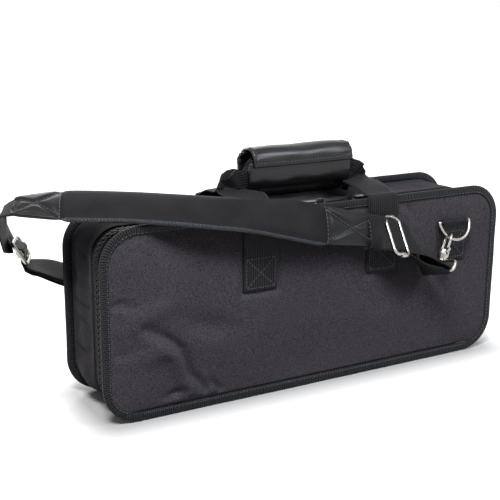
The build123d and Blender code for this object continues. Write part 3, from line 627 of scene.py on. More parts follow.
# %% [markdown]
# ### Leather
#
# The grip is grained leather with a thin gloss. The pad is smoother and duller, and its
# sewn ends show more grain. One recipe serves all three: cells for the grain, and broad
# clouds where handling has worn it lighter.


# %% Leather
def hide(name, dark, light, rough, coat, grain, strength, shine=0.14):
    """Leather or leatherette: cell grain, worn lighter in broad clouds."""
    made, bsdf, spot, (u, *_) = material(name, "UV", Coat_Weight=coat, Coat_Roughness=0.26)
    bsdf.inputs["Specular IOR Level"].default_value = shine
    cells = u.node("TexVoronoi", Vector=spot, Scale=grain, out=0)
    fine = u.node("TexNoise", Vector=spot, Scale=grain * 1.4, Detail=4.0)
    cloud = u.node("TexNoise", Vector=spot, Scale=26.0, Detail=3.0)
    base = (cloud * 0.7 + fine * 0.3).ramp(0.3, 0.75).mix(dark, light)
    attach(bsdf, base, cloud * 0.18 + rough, cells + fine * 0.5, strength, 0.00025)
    return made


grip_leather = hide("grip_leather", colour((6, 6, 8)), colour((18, 19, 22)), 0.3, 0.42, 420, 0.8)
pad_leather = hide(
    "pad_leather", colour((22, 22, 24)), colour((38, 38, 40)), 0.55, 0.0, 900, 0.15, 0.05
)
pad_end_leather = hide(
    "pad_end_leather", colour((14, 14, 16)), colour((30, 30, 33)), 0.34, 0.1, 600, 0.5, 0.12
)
print("leathers", grip_leather.name, pad_leather.name, pad_end_leather.name)

# %% [markdown]
# ### Metal and enamel
#
# Hooks, rings and adjusters are plated, with faint scratches and some tarnish. The zip
# sliders are black enamel with small chips. A plain colour would look like plastic, so
# noise sets where it is scratched, stained or chipped.


# %% Metal and enamel
def metal(name, tint, rough, scratch):
    """Plated metal with faint brushed scratches and a little tarnish."""
    made, bsdf, spot, (x, y, z) = material(name, "Object", Metallic=1.0)
    stretched = x.node("CombineXYZ", X=x * 0.15, Y=y, Z=z)
    lines = x.node("TexNoise", Vector=stretched, Scale=900.0, Detail=4.0)
    stain = x.node("TexNoise", Vector=spot, Scale=160.0, Detail=2.0)
    low = [v * 0.72 for v in tint[:3]] + [1.0]
    base = stain.ramp(0.3, 0.6).mix(low, tint)
    attach(bsdf, base, lines * scratch + rough, lines, 0.08, 0.0001)
    return made


nickel = metal("nickel_plate", colour((168, 164, 157)), 0.2, 0.2)
enamel, enamel_shader, spot, axes = material("black_enamel", Coat_Weight=0.4)
chips = axes[0].node("TexNoise", Vector=spot, Scale=500.0, Detail=4.0)
attach(
    enamel_shader,
    chips.ramp(0.62, 0.72).mix(colour((22, 22, 24)), colour((70, 70, 72))),
    chips * 0.3 + 0.25,
    chips,
    0.1,
)
print("metals", nickel.name, enamel.name)

# %% [markdown]
# ### Nylon and thread
#
# The coil is dull nylon and the stitches are twisted yarn. Both are too thin to show more
# than a slight unevenness, so one fine noise drives colour, roughness and bump.

# %% Nylon and thread
nylon, nylon_shader, spot, axes = material("zip_nylon")
nylon_shader.inputs["Specular IOR Level"].default_value = 0.12
twist = axes[0].node("TexNoise", Vector=spot, Scale=1500.0, Detail=2.0)
attach(
    nylon_shader,
    twist.mix(colour((8, 8, 9)), colour((24, 24, 26))),
    twist * 0.2 + 0.5,
    twist,
    0.3,
)


def yarn(name, dark, light):
    """Twisted sewing thread."""
    made, bsdf, spot, (x, *_) = material(name, Sheen_Weight=0.3)
    ply = x.node("TexNoise", Vector=spot, Scale=2500.0, Detail=2.0)
    attach(bsdf, ply.mix(dark, light), ply * 0.2 + 0.45, ply, 0.4)
    return made


thread = yarn("thread", colour((16, 16, 17)), colour((66, 67, 72)))
pad_thread_paint = yarn("pad_thread", colour((34, 35, 40)), colour((78, 81, 90)))
print(len(bpy.data.materials), "materials")

# %% [markdown]
# ## Metal and zip pieces keep their CAD shape
#
# Rings, hooks, gates, adjusters and sliders are hard pieces, and each row of the coil is a
# ribbed strip. The CAD model has their shape, with the joints that move them. They could
# be built again with finer edges, but then they might not fit their pins. So nothing of
# them is moved, and only their material slots are filled.

# %% Carried-over nodes
for node_name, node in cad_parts.items():
    if "zip_teeth" in node_name:
        finish = nylon
    elif "slider" in node_name or "pull" in node_name:
        finish = enamel
    else:
        finish = nickel
    for slot in node.material_slots:
        slot.material = finish
print("carried over", len(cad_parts))

# %% [markdown]
# ## Front panel
#
# The real panel is cloth over a foam sheet, sewn round its edge. So it is crowned towards
# the middle and drawn in at the seam, and it creases where the bag has been leaned on.
# A cloth simulation alone gives even swelling but never the folds of this photograph.
# The panel is therefore swollen a little by Cloth first. Then each fold is laid along a
# few points of the panel, as a valley with a soft ridge beside it. Under the handles the
# cloth stays low, because the webbing is sewn flat onto it.


# %% Folds
def inset(x, z):
    """Distance inside the seam, in metres; negative outside it."""
    qx, qz = abs(x) - half_core, abs(z - middle) - half_core_high
    out = math.hypot(max(qx, 0), max(qz, 0)) + min(max(qx, qz), 0) - corner
    return -out


s_fold = [(-205, 96), (-189, 88), (-179, 81), (-165, 68)]
s_fold += [(-160, 54), (-156, 40), (-146, 30), (-137, 20)]
front_folds = [
    (s_fold, 5.0, 6.6, 4.6),
    ([(-132, 30), (-122, 17), (-118, 11)], 3.2, 4.0, 3.0),
    ([(-146, 34), (-140, 24), (-137, 14)], 3.0, 1.8, 1.4),
    ([(-182, 19), (-173, 23), (-162, 23)], 4.0, 3.4, 2.4),
    ([(-243, 121), (-229, 125), (-218, 119)], 4.0, 3.0, 1.8),
    ([(-240, 76), (-228, 72), (-218, 73)], 5.0, 1.5, 0.8),
    ([(-162, 99), (-134, 88), (-108, 80)], 11.0, 3.8, 0.0),
    ([(-229, 100), (-200, 110), (-170, 118)], 10.0, -3.0, 0.0),
    ([(-209, 66), (-192, 69), (-177, 66)], 10.0, -3.4, 0.0),
    ([(-146, 181), (-138, 175), (-128, 168)], 8.0, 2.6, 1.0),
    ([(114, 190), (118, 182), (123, 170)], 3.5, 3.2, 1.8),
    ([(-60, 20), (10, 32), (80, 30)], 22.0, 1.0, 0.4),
    ([(190, 40), (205, 80), (200, 120)], 20.0, 1.2, 0.5),
]

print("folds in front", len(front_folds), "and the seam's inset at the middle", inset(0, middle))

# %% [markdown]
# ### How deep a fold is
#
# A fold is listed as its points in mm, its width, its depth and the height of the ridge on
# one side. A painted height map would need a picture. Instead each point of the panel
# finds its nearest place on every fold, and the fold fades out towards its two ends.


# %% Height of the folds
def fold_height(x, z, folds):
    """Height in metres that the folds add at (x, z)."""
    height = 0.0
    for points, width, deep, ridge in folds:
        best, side, share = 1e9, 1.0, 0.0
        for i in range(len(points) - 1):
            a = Vector(points[i]) * MM
            b = Vector(points[i + 1]) * MM
            p = Vector((x, z))
            t = max(0.0, min(1.0, (p - a).dot(b - a) / (b - a).length_squared))
            off = p - (a + (b - a) * t)
            if off.length < best:
                best = off.length
                turn = (b - a).x * off.y - (b - a).y * off.x
                side = 1.0 if turn > 0 else -1.0
                share = (i + t) / (len(points) - 1)
        reach = width * MM
        if best > 5 * reach:
            continue
        fade = math.sin(math.pi * min(0.94, max(0.06, share))) ** 0.6
        valley = -deep * math.exp(-((best / reach) ** 2))
        bank = ridge * math.exp(-(((best * side * -1 - 1.9 * reach) / (1.5 * reach)) ** 2))
        height += (valley + bank) * fade * MM
    return height


print("depth in the long fold", round(fold_height(-0.16, 0.054, front_folds) / MM, 2), "mm")

# %% [markdown]
# ### Crown and puckers
#
# A padded panel stands highest away from its seam and gathers in small puckers beside it.
# Sewn-on webbing holds it down. These three helpers give the crown, the limit under
# webbing, and the move that presses folds and puckers into the outer face.


# %% Crown and puckers
def panel_height(x, z, crown, seed):
    """Height of a padded panel over its seam plane."""
    gap = max(0.0, inset(x, z))
    depth = min(1.0, gap / (34 * MM))
    swell = crown * (1 - (1 - depth) ** 2) - 0.8 * MM * math.exp(-((gap / (2.5 * MM)) ** 2))
    return swell + ripple(x, z, 0.0, scale=11, seed=seed) * 1.3 * MM * depth


def reach_under_web(x, z, side):
    """How far out a panel may stand at (x, z), held down where webbing is sewn on."""
    limit = 70 * MM
    for middle_x, half in ((-75 * MM, 20 * MM), (80 * MM, 20 * MM), (side * -180 * MM, 19 * MM)):
        past = math.hypot(max(0.0, abs(x - middle_x) - half), max(0.0, 117 * MM - z))
        limit = min(limit, 52.0 * MM + past * past / (12 * MM))
    return limit


def crease(obj, side, folds, seed):
    """Presses folds and puckers into a panel's outer face; side is -1 front, 1 back."""
    for vert in obj.data.vertices:
        x, y, z = vert.co
        gap = inset(x, z)
        if y * side < 50.3 * MM or gap < 1.5 * MM:
            continue
        pucker = ripple(x, z, 0.0, scale=70, seed=seed) * 0.9 * MM
        pucker *= math.exp(-((gap / (11 * MM)) ** 2))
        out = y * side + (pucker + fold_height(x, z, folds)) * min(1.0, gap / (6 * MM))
        vert.co.y = side * min(out, reach_under_web(x, z, side))
    obj.data.update()


print("crown of the front", round(panel_height(0, middle, 2.4 * MM, 2.0) / MM, 2), "mm")

# %% [markdown]
# ### Making the front panel
#
# The panel is one pad over a 5 mm grid. Its rear face, its rim and its foot are pinned
# while it is swollen. The faces are split before the folds go in, as the narrowest fold
# is only about 5 mm across.

# %% Front panel
cell = 5 * MM
span_x = [i * cell for i in range(-round(0.248 / cell), round(0.248 / cell) + 1)]
span_z = [10.4 * MM + i * cell for i in range(round(0.189 / cell) + 1)]
front_panel = quilt(
    "front_panel",
    span_x,
    span_z,
    lambda x, z: inset(x, z) > -6.4 * MM,
    lambda x, z: (x, -50.7 * MM - panel_height(x, z, 2.4 * MM, 2.0), z),
    lambda x, z: (x, -49.6 * MM + 8.6 * MM * min(1.0, max(0.0, inset(x, z) / (6 * MM))), z),
    panel_cloth,
    "lid",
)
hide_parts("front_panel_cover", "front_foam")
rows = np.array([v.co for v in front_panel.data.vertices])
held = [
    i
    for i, p in enumerate(rows)
    if i >= len(rows) // 2 or inset(p[0], p[2]) < 3 * MM or p[2] < 14 * MM
]
inflate(front_panel, held, 1.2, 12, 2.0 * MM, 25.0)
finer(front_panel)
crease(front_panel, -1, front_folds, 5.0)
print("front panel points", len(front_panel.data.vertices))

# %% [markdown]
# ## Back panel
#
# The back panel is sewn as the front one is, and carries more of the load, so its folds
# are longer and shallower. It gets the same builder with other folds, and the swelling by
# Cloth is left out.

# %% Back panel
back_folds = [
    ([(-190, 60), (-120, 40), (-30, 48)], 9, 2.4, 1.6),
    ([(100, 150), (190, 120)], 12, 1.8, 1.2),
    ([(150, 40), (180, 60), (186, 90)], 8, 2.2, 1.4),
]
span_back = [3.6 * MM + i * cell for i in range(round(0.194 / cell) + 1)]
back_panel = quilt(
    "back_panel",
    span_x,
    span_back,
    lambda x, z: inset(x, z) > -6.4 * MM,
    lambda x, z: (x, 49.6 * MM - 8.6 * MM * min(1.0, max(0.0, inset(x, z) / (6 * MM))), z),
    lambda x, z: (x, 50.7 * MM + panel_height(x, z, 3.0 * MM, 7.0), z),
    panel_cloth,
    "shell",
)
finer(back_panel)
crease(back_panel, 1, back_folds, 9.0)
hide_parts("back_panel_cover", "back_foam")
print("back panel points", len(back_panel.data.vertices))

# %% [markdown]
# ### Linings
#
# The linings are thin brushed cloth over foam, seen only when the lid is open. Creased
# cloth would cost points for little, so the panels get flat plates with a soft surface
# and the walls get a thick band.


# %% Linings
def lining_plate(name, outer_y, inner_y, body):
    """The flat lining of a panel, with a soft quilted surface."""

    def covered(x, z):
        return inset(x, z) > 11 * MM or (abs(x) < 209.4 * MM and z < 60 * MM)

    def soft(x, z):
        return 0.5 * MM * ripple(x, z, 1.0, scale=25, seed=4)

    span = [13.4 * MM + i * cell for i in range(round(0.167 / cell) + 1)]
    return quilt(
        name,
        span_x,
        span,
        covered,
        lambda x, z: (x, outer_y + soft(x, z), z),
        lambda x, z: (x, inner_y + soft(x, z), z),
        lining_cloth,
        body,
    )


lining_plate("lid_lining_sheet", -40.6 * MM, -39.6 * MM, "lid")
lining_plate("body_lining_sheet", 39.6 * MM, 40.6 * MM, "shell")
lid_wall = band(
    "lid_wall_lining",
    slab_profile(-40.2 * MM, -26.5 * MM, -3 * MM, -12 * MM),
    lining_cloth,
    "lid",
    1.5 * MM,
    arch - 1.5 * MM,
)
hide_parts("rim_foam", "lid_lining")
shell_wall = band(
    "shell_wall_lining",
    slab_profile(-12.5 * MM, 40.2 * MM, -3 * MM, -12 * MM),
    lining_cloth,
    "shell",
    warp=lambda s, y, g: (0, -0.5 * MM * ripple(s, y, 0, scale=30, seed=5)),
)
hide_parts("gusset_foam", "body_lining")
print("wall lining points", len(lid_wall.data.vertices) + len(shell_wall.data.vertices))

# %% [markdown]
# ### Base
#
# The base is foam between cloths. It is flat where it stands on the floor and slopes up
# to the seams. A plain box would show a hard edge there, so its underside is a surface of
# its own.


# %% Base
def base_drop(x, y):
    """Height of the base's underside, sloped up to the seams and creased a little."""
    ends = max(0.0, abs(x) - 187.8 * MM) / (22 * MM) * 10 * MM
    sides = max(0.0, abs(y) - 40 * MM) / (7 * MM) * 7 * MM
    lift = math.hypot(ends, sides)
    return min(11 * MM, lift + 0.25 * MM * abs(ripple(x, y, 0, scale=30, seed=8)) * (lift > 0))


base_x = [(-209.8 + i * 419.6 / 90) * MM for i in range(91)]
base_y = [(-46.9 + i * 93.8 / 24) * MM for i in range(25)]
base_cloth = quilt(
    "base_cloth",
    base_x,
    base_y,
    lambda x, y: True,
    lambda x, y: (x, y, 11.9 * MM),
    lambda x, y: (x, y, base_drop(x, y)),
    panel_cloth,
    "shell",
)
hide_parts("base_gusset", "base_foam")
base_lining = quilt(
    "base_lining_sheet",
    base_x,
    base_y,
    lambda x, y: True,
    lambda x, y: (x, y, 12.9 * MM + 0.3 * MM * ripple(x, y, 0, scale=40, seed=1)),
    lambda x, y: (x, y, 12 * MM),
    lining_cloth,
    "shell",
)
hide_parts("base_lining")
print("base points", len(base_cloth.data.vertices))

# %% [markdown]
# ## Gusset walls and zip tapes
#
# The gusset is the wall between the two panels. Foam lines it, but nothing holds it
# between its seams, so it sags and creases, most at its two ends and its foot. A flat
# strip with a bump map would keep a straight outline from the side. The wall is swept
# along the seam instead, with the sag in its points. The zip tapes are sewn to it and lie
# just under the coils.


# %% Gusset
def sag(s, y, grow):
    """Crease and sag of the rear gusset, still at its two seams."""
    across = (y + 4.5 * MM) / (53.5 * MM)
    free = math.sin(math.pi * max(0.0, min(1.0, across))) ** 0.8
    end = 1.0 if s < quarter + side_run or s > arch - quarter - side_run else 0.55
    soft = ripple(s * 0.55, y * 1.2, 0, scale=26, seed=11) * 3.4 * MM
    soft += 6 * MM * math.sin(math.pi * min(1.0, min(s, arch - s) / (1.2 * quarter)))
    crease = abs(ripple(s, y * 0.45, 0, scale=44, seed=17))
    return 0, (soft - 2.2 * MM * math.exp(-((crease / 0.12) ** 2)) - 0.6 * MM) * free * end


rear_gusset = band(
    "rear_gusset_cloth",
    slab_profile(-4.4 * MM, 49.2 * MM, 0, -1.6 * MM, 2.6 * MM),
    shaded_gusset_cloth,
    "shell",
    step=2.6 * MM,
    warp=sag,
)
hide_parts("rear_gusset")
print("rear gusset points", len(rear_gusset.data.vertices))

# %% [markdown]
# ### Front rim and zip tapes
#
# In front of the zip only a narrow rim of the wall is left, which belongs to the lid. It
# could be cut off one whole wall, but the lid has to move by itself. So the rim and the
# two tapes are bands of their own, and those of the lid stop a little short of the foot.

# %% Rim and tapes
front_rim = band(
    "front_rim_cloth",
    slab_profile(-49.2 * MM, -34.6 * MM, 0, -1.6 * MM, 2.6 * MM),
    shaded_gusset_cloth,
    "lid",
    1 * MM,
    arch - 1 * MM,
    2.6 * MM,
    lambda s, y, g: (0, 0.8 * MM * ripple(s, y, 0, scale=40, seed=21) - 0.3 * MM),
)
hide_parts("front_gusset_rim")
front_tape = band(
    "zip_tape_front_cloth",
    slab_profile(-37.6 * MM, -20.3 * MM, -1.8 * MM, -2.7 * MM),
    tape_cloth,
    "lid",
    3.5 * MM,
    arch - 3.5 * MM,
)
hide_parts("zip_tape_front")
rear_tape = band(
    "zip_tape_rear_cloth",
    slab_profile(-18.7 * MM, -0.8 * MM, -1.8 * MM, -2.7 * MM),
    tape_cloth,
    "shell",
)
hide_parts("zip_tape_rear")

# %% [markdown]
# ## Bindings
#
# A ribbed tape is folded over the raw edge of each flange and sewn through. It could be a
# bevelled curve, but a tube has no folded edge and no stitches. So a folded section is
# swept round the flange, wavering by under a millimetre as a sewn tape does. The front one
# is cut level with the lid's seam, so that the lid can swing down while the part along
# the base stays.


# %% Binding tape
def tape_loop(seam_y):
    """Rounded (y, grow) section of the folded tape."""
    half, points = 2.45 * MM, []
    for k in range(20):
        turn = 2 * math.pi * k / 20
        cos, sin = math.cos(turn), math.sin(turn)
        y = half * math.copysign(abs(cos) ** 0.75, cos)
        g = 4.85 * MM + 4.65 * MM * math.copysign(abs(sin) ** 0.6, sin)
        points.append((seam_y + y, g))
    return points


def tape_wobble(seed):
    """Small unevenness of the sewn tape."""

    def warp(s, y, grow):
        share = max(0.0, grow / flange)
        lean = 0.7 * MM * ripple(s, 0, 0, scale=17, seed=seed) * share
        return lean, 0.45 * MM * ripple(s, 1, 0, scale=36, seed=seed) * share - 0.2 * MM * share

    return warp


print("points round the tape", len(tape_loop(front_seam)))

# %% [markdown]
# ### Laying the tapes
#
# The real tape in front is one loop. Here the lid has to take its part along, so the same
# loop is laid twice. One copy keeps what is above the foot seam and the other what is
# below it.


# %% Tapes
def cut(obj, height, above):
    """Keeps the part of obj above or below a height, and closes the cut."""
    work = bmesh.new()
    work.from_mesh(obj.data)
    bmesh.ops.bisect_plane(
        work,
        geom=work.verts[:] + work.edges[:] + work.faces[:],
        plane_co=(0, 0, height),
        plane_no=(0, 0, 1),
        clear_inner=above,
        clear_outer=not above,
    )
    bmesh.ops.holes_fill(work, edges=[e for e in work.edges if e.is_boundary])
    work.to_mesh(obj.data)
    work.free()


def turn_uv(obj):
    """Turns the tape's ribs across it."""
    for loop in obj.data.uv_layers[0].data:
        loop.uv = (loop.uv[1], loop.uv[0])


tapes = {}
for label, seam_y, seed, body in (
    ("front", front_seam, 31.0, "lid"),
    ("base", front_seam, 31.0, "shell"),
    ("back", back_seam, 37.0, "shell"),
):
    tapes[label] = band(
        label + "_binding_tape",
        tape_loop(seam_y),
        binding,
        body,
        0.0,
        full_ring,
        3 * MM,
        tape_wobble(seed),
        True,
    )
    turn_uv(tapes[label])
cut(tapes["front"], 10.2 * MM, True)
cut(tapes["base"], 9.8 * MM, False)
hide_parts("front_binding")
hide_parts("base_binding")
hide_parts("back_binding")
print("tapes", list(tapes))

# %% [markdown]
# ### Stitches of the bindings
#
# One row of stitches holds each tape, a little outside the seam. The rows follow the same
# seam function, so that they keep their distance from the edge round every corner.


# %% Binding stitches
def ring_row(y, grow, out, s0=0.0, s1=full_ring):
    """Points and normals of a stitch row that follows the seam."""
    points, normals = [], []
    for i in range(401):
        (x, z), (ox, oz) = seam(s0 + (s1 - s0) * i / 400)
        points.append((x + ox * grow, y, z + oz * grow))
        normals.append(out)
    return points, normals


top_s = (13 * MM, arch - 13 * MM)
stitches(
    "front_binding_thread",
    [ring_row(-51.9 * MM, 2.0 * MM, (0, -1, 0), *top_s)],
    thread,
    "lid",
)
stitches(
    "base_binding_thread",
    [ring_row(-51.9 * MM, 2.0 * MM, (0, -1, 0), arch + 2 * MM, full_ring - 2 * MM)],
    thread,
    "shell",
)
stitches("back_binding_thread", [ring_row(51.9 * MM, 2.0 * MM, (0, 1, 0))], thread, "shell")
print("bindings done")

# %% [markdown]
# ## Handles
#
# Each handle is one length of webbing. It is sewn flat to its panel with a crossed box,
# runs up over the flange, gathers as it turns inwards and passes through the grip beside
# the other handle. Webbing bends easily across its face and hardly at all in its own
# plane, so it can't be any curve. Its route is set by rows that hold a point, a width
# direction and a width, and a spline runs through them.


# %% Handle webbing
def handle_route(side):
    """Rows for one handle; side is -1 for the front and 1 for the back."""
    bar = (6 + side * 2.8) * MM
    w, narrow = 40 * MM, 34 * MM
    rows = []

    def add(x, y, z, wide, width=w):
        rows.append([x * MM, y if y is bar else side * y * MM, z * MM, *wide, width])

    add(-75, 53.4, 118, (1, 0, 0))
    add(-75, 53.4, 160, (1, 0, 0))
    add(-75, 53.7, 195, (1, 0, 0))
    add(-75, 50.6, 202.4, (1, 0, 0))
    add(-75, 45, 202.6, (1, 0, 0))
    add(-75, 36, 208, (1, 0, 0.05))
    add(-75, 25, 211.5, (1, 0, 0.08))
    add(-75, 15, 211, (1, 0, 0.05))
    add(-75, bar, 212, (1, 0, 0), 38 * MM)
    add(-71, bar, 216, (0.995, 0, -0.1), 38 * MM)
    add(-62, bar, 217, (0.98, 0, -0.2), 28 * MM)
    add(-53, bar, 219, (0.87, 0, -0.49), 21 * MM)
    add(-48, bar, 227, (0.56, 0, -0.83), 29 * MM)
    add(-40, bar, 231, (0.33, 0, -0.94), narrow)
    add(-25, bar, 232, (0, 0, -1), narrow)
    add(30, bar, 232, (0, 0, -1), narrow)
    add(45, bar, 231, (-0.33, 0, -0.94), narrow)
    add(53, bar, 227, (-0.56, 0, -0.83), 29 * MM)
    add(58, bar, 219, (-0.87, 0, -0.49), 21 * MM)
    add(67, bar, 217, (-0.98, 0, -0.2), 28 * MM)
    add(76, bar, 216, (-0.995, 0, -0.1), 38 * MM)
    add(80, bar, 212, (-1, 0, 0), 38 * MM)
    add(80, 14, 210, (-1, 0, 0))
    add(80, 28, 207.5, (-1, 0, 0))
    add(80, 45, 202.6, (-1, 0, 0))
    add(80, 50.6, 202.4, (-1, 0, 0))
    add(80, 53.7, 195, (-1, 0, 0))
    add(80, 53.4, 160, (-1, 0, 0))
    add(80, 53.4, 118, (-1, 0, 0))
    return rows


front_handle = strip(
    "front_handle_webbing", handle_route(-1), webbing, None, 2.3 * MM, wave=0.5 * MM
)
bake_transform(front_handle)
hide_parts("front_handle")
back_handle = strip(
    "back_handle_webbing", handle_route(1), webbing, "shell", 2.3 * MM, wave=0.5 * MM
)
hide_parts("back_handle")
print("handle points", len(front_handle.data.vertices), len(back_handle.data.vertices))

# %% [markdown]
# ### Crossed boxes
#
# Each leg of a handle is sewn down with a box and a cross. A texture could show them, but
# the thread stands proud of the webbing and catches the light. So they are real stitches,
# six straight rows to a box.


# %% Crossed boxes
def box_rows(x, z0, z1, y, out, half=17 * MM):
    """Stitch rows of a box with a cross, on a panel."""
    corners = [(x - half, z0), (x + half, z0), (x + half, z1), (x - half, z1)]
    pairs = [(0, 1), (1, 2), (2, 3), (3, 0), (0, 2), (1, 3)]
    rows = []
    for a, b in pairs:
        line = [
            (
                corners[a][0] + (corners[b][0] - corners[a][0]) * i / 8,
                y,
                corners[a][1] + (corners[b][1] - corners[a][1]) * i / 8,
            )
            for i in range(9)
        ]
        rows.append((line, [(0, out, 0)] * 9))
    return rows


front_boxes = box_rows(-75 * MM, 121 * MM, 152 * MM, -54.6 * MM, -1)
front_boxes += box_rows(80 * MM, 121 * MM, 152 * MM, -54.6 * MM, -1)
stitches("front_handle_thread", front_boxes, thread, "lid")
back_boxes = box_rows(-75 * MM, 121 * MM, 152 * MM, 54.6 * MM, 1)
back_boxes += box_rows(80 * MM, 121 * MM, 152 * MM, 54.6 * MM, 1)
stitches("back_handle_thread", back_boxes, thread, "shell")
print("handles done")

# %% [markdown]
# ## Hand grip
#
# A padded leather wrap goes round both handles, and its flap laps over the top and the
# front, with a stitched border. A swept tube would close without a lap. The wrap and the
# flap are two open turns of one rounded section, one over the other. The flap is a piece
# of its own, because it opens: its rear edge is sewn to the wrap, and the leather bends
# beside that edge.


# %% Grip section
grip_y, grip_middle, grip_z = 6 * MM, 231.4 * MM, 232 * MM
grip_start, grip_length = -61, 128


def rounded_run(grow, start, end, n=46):
    """Points (y, z) round the grip's section between two turns, from the front's middle."""
    points = []
    for i in range(n + 1):
        turn = start + (end - start) * i / n
        cos, sin = math.cos(turn), math.sin(turn)
        half_y, half_z, power = 14 * MM + grow, 22.2 * MM + grow, 0.7
        points.append(
            (
                grip_y - half_y * math.copysign(abs(cos) ** power, cos),
                grip_middle + half_z * math.copysign(abs(sin) ** power, sin),
            )
        )
    return points


def layer(grow_out, grow_in, start, end):
    """A closed section: out along one run and back along the other."""
    return rounded_run(grow_out, start, end) + list(reversed(rounded_run(grow_in, start, end)))


def soft_grip(seed, puff):
    """Fullness of the leather between its stitched ends."""

    def warp(x, y, z):
        share = (x / MM - grip_start) / grip_length
        near = max(0.0, min(share, 1 - share)) * grip_length
        full = 1 - math.exp(-((near / 9) ** 2))
        scale = 1 + puff * full - 0.035
        dy, dz = y - grip_y, z - grip_z
        bumps = ripple(x, y * 2, z * 2, scale=38, seed=seed) * 0.8 * MM
        tuck = ripple(x * 0.4, y * 2, z * 2, scale=120, seed=seed) * 1.5 * MM
        k = scale + (bumps + tuck * math.exp(-near / 8)) / max(math.hypot(dy, dz), 1e-6)
        shift = 2.0 * MM * ripple(0, y, z, scale=60, seed=seed) * math.exp(-near / 10)
        return x + shift, grip_y + dy * k, grip_z + dz * k

    return warp


print("points round the grip", len(layer(0, -MM, 0.0, 1.0)))

# %% [markdown]
# ### Wrap and flap
#
# The leather is fuller between its stitched ends and wrinkles near them. The flap starts
# at its sewn edge behind the top.

# %% Wrap and flap
wrap = sweep_x(
    "grip_wrap_leather",
    layer(-0.2 * MM, -3.6 * MM, 0.35, -math.pi - 1.25),
    -61 * MM,
    67 * MM,
    grip_leather,
    "shell",
    warp=soft_grip(3.0, 0.03),
)
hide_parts("grip_wrap")
flap = sweep_x(
    "grip_flap_leather",
    layer(2.4 * MM, 0.4 * MM, math.pi - 0.55, 0.1),
    -57 * MM,
    68 * MM,
    grip_leather,
    None,
    warp=soft_grip(3.0, 0.035),
)
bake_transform(flap)
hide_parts("grip_flap")

warp_flap = soft_grip(3.0, 0.035)
flap_rows = []
edge = rounded_run(2.6 * MM, math.pi - 1.05, 0.1)
for x in (-53 * MM, 64 * MM):
    points = [warp_flap(x, y, z) for y, z in edge]
    flap_rows.append((points, [(0, p[1] - grip_y, p[2] - grip_z) for p in points]))
low = rounded_run(2.6 * MM, 0.24, 0.24, 1)[0]
points = [warp_flap((-52 + i * 115 / 40) * MM, *low) for i in range(41)]
flap_rows.append((points, [(0, -1, 0.2)] * 41))
flap_thread = stitches("grip_flap_thread", flap_rows, thread, None)
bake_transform(flap_thread)
print("grip done")

# %% [markdown]
# ## Rings, hooks and the strap's route
#
# The strap has to meet the CAD hardware where it hangs. Reading places off the frame's
# meshes would work only for this one pack. So the same few measures are worked out again:
# the tilted ring, the point where the hook hangs on it, and the eye at the hook's end.
# A short tab of webbing holds each ring to its panel.

# %% Hardware places
tilt, lean, reach = math.radians(23), math.radians(2), math.radians(37)
ring_centre = Vector((180, -55.7, 163)) * MM
ring_up = Vector((0, math.sin(tilt), math.cos(tilt)))
ring_out = Vector((0, -math.cos(tilt), math.sin(tilt)))
radial = Vector((-math.sin(reach), 0, 0)) - ring_up * math.cos(reach)
down = radial * math.cos(lean) + ring_out * math.sin(lean)
hook_at = ring_centre + radial * 21.5 * MM + down * 1.2 * MM
eye_bar = hook_at + down * (28.5 + 0.1 + 2 + 0.9 + 13) * MM
minus_y = Vector((0, -1, 0))
eye_wide = (minus_y - down * minus_y.dot(down)).normalized()


def adjuster(at, across, up):
    """Origin and the three axes of an adjuster: along the strap, along its bars, out."""
    x = Vector(across).normalized()
    y = (Vector(up) - x * Vector(up).dot(x)).normalized()
    return Vector(at) * MM, x, y, x.cross(y)


def to_back(v, place=False):
    """A front vector, or place, on the back panel near the other end."""
    return Vector((v.x - (0.36 if place else 0), -v.y, v.z))


front_adjuster = adjuster((83.3, -74.5, 161), (0.93, 0.22, -0.3), (0, 0.6, 0.8))
rear_adjuster = adjuster((-285.7, 70, 158.5), (0.47, -0.24, -0.85), (0.38, 0.92, -0.05))
print("front eye", [round(v, 4) for v in eye_bar])

# %% [markdown]
# ### Ring tabs
#
# A ring's tab is a length of webbing folded round the ring's bar, with both ends sewn to
# the panel. It could be two flat plates, but then the fold would be missing.


# %% Ring tabs
def tab_route(side, x):
    """Webbing that runs up the panel, round the ring's bar and down again."""
    y0, bar_y, z0 = 53.0, 55.7, 163
    points = [(y0 + 0.2, 117), (y0 + 0.2, 140), (y0 + 0.1, 157)]
    for turn in range(-20, 231, 25):
        a = math.radians(180 - turn)
        points.append((bar_y + 2.9 * math.cos(a), z0 + 2.9 * math.sin(a)))
    points += [(y0 + 2.3, 158), (y0 + 2.0, 152), (y0 + 1.9, 140), (y0 + 1.9, 118)]
    return [[x, side * y * MM, z * MM, 1, 0, 0, 37 * MM] for y, z in points]


for side, x, body, label in ((-1, 0.180, "lid", "front"), (1, -0.180, "shell", "rear")):
    tab = strip(label + "_tab_webbing", tab_route(side, x), webbing, body, 1.4 * MM, 1.5 * MM)
    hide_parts(label + "_ring_tab")
    rows = box_rows(x, 121 * MM, 151 * MM, side * 55.7 * MM, side, 15.5 * MM)
    stitches(label + "_tab_thread", rows, thread, body)
print("front ring at", [round(v, 4) for v in ring_centre])

# %% [markdown]
# ## Shoulder pad
#
# The pad is two layers of leatherette with foam between them, sewn flat and rolled at the
# edge. It is stiff and satin: it springs free of the bag on the left, then drapes over
# the front flange. Hung as simulated cloth it would fall too limply and differ from the
# photograph. So its surface is a smooth sheet through nine measured sections. The padding
# is swollen by Cloth, and the crossed seams at its ends are pressed in after.

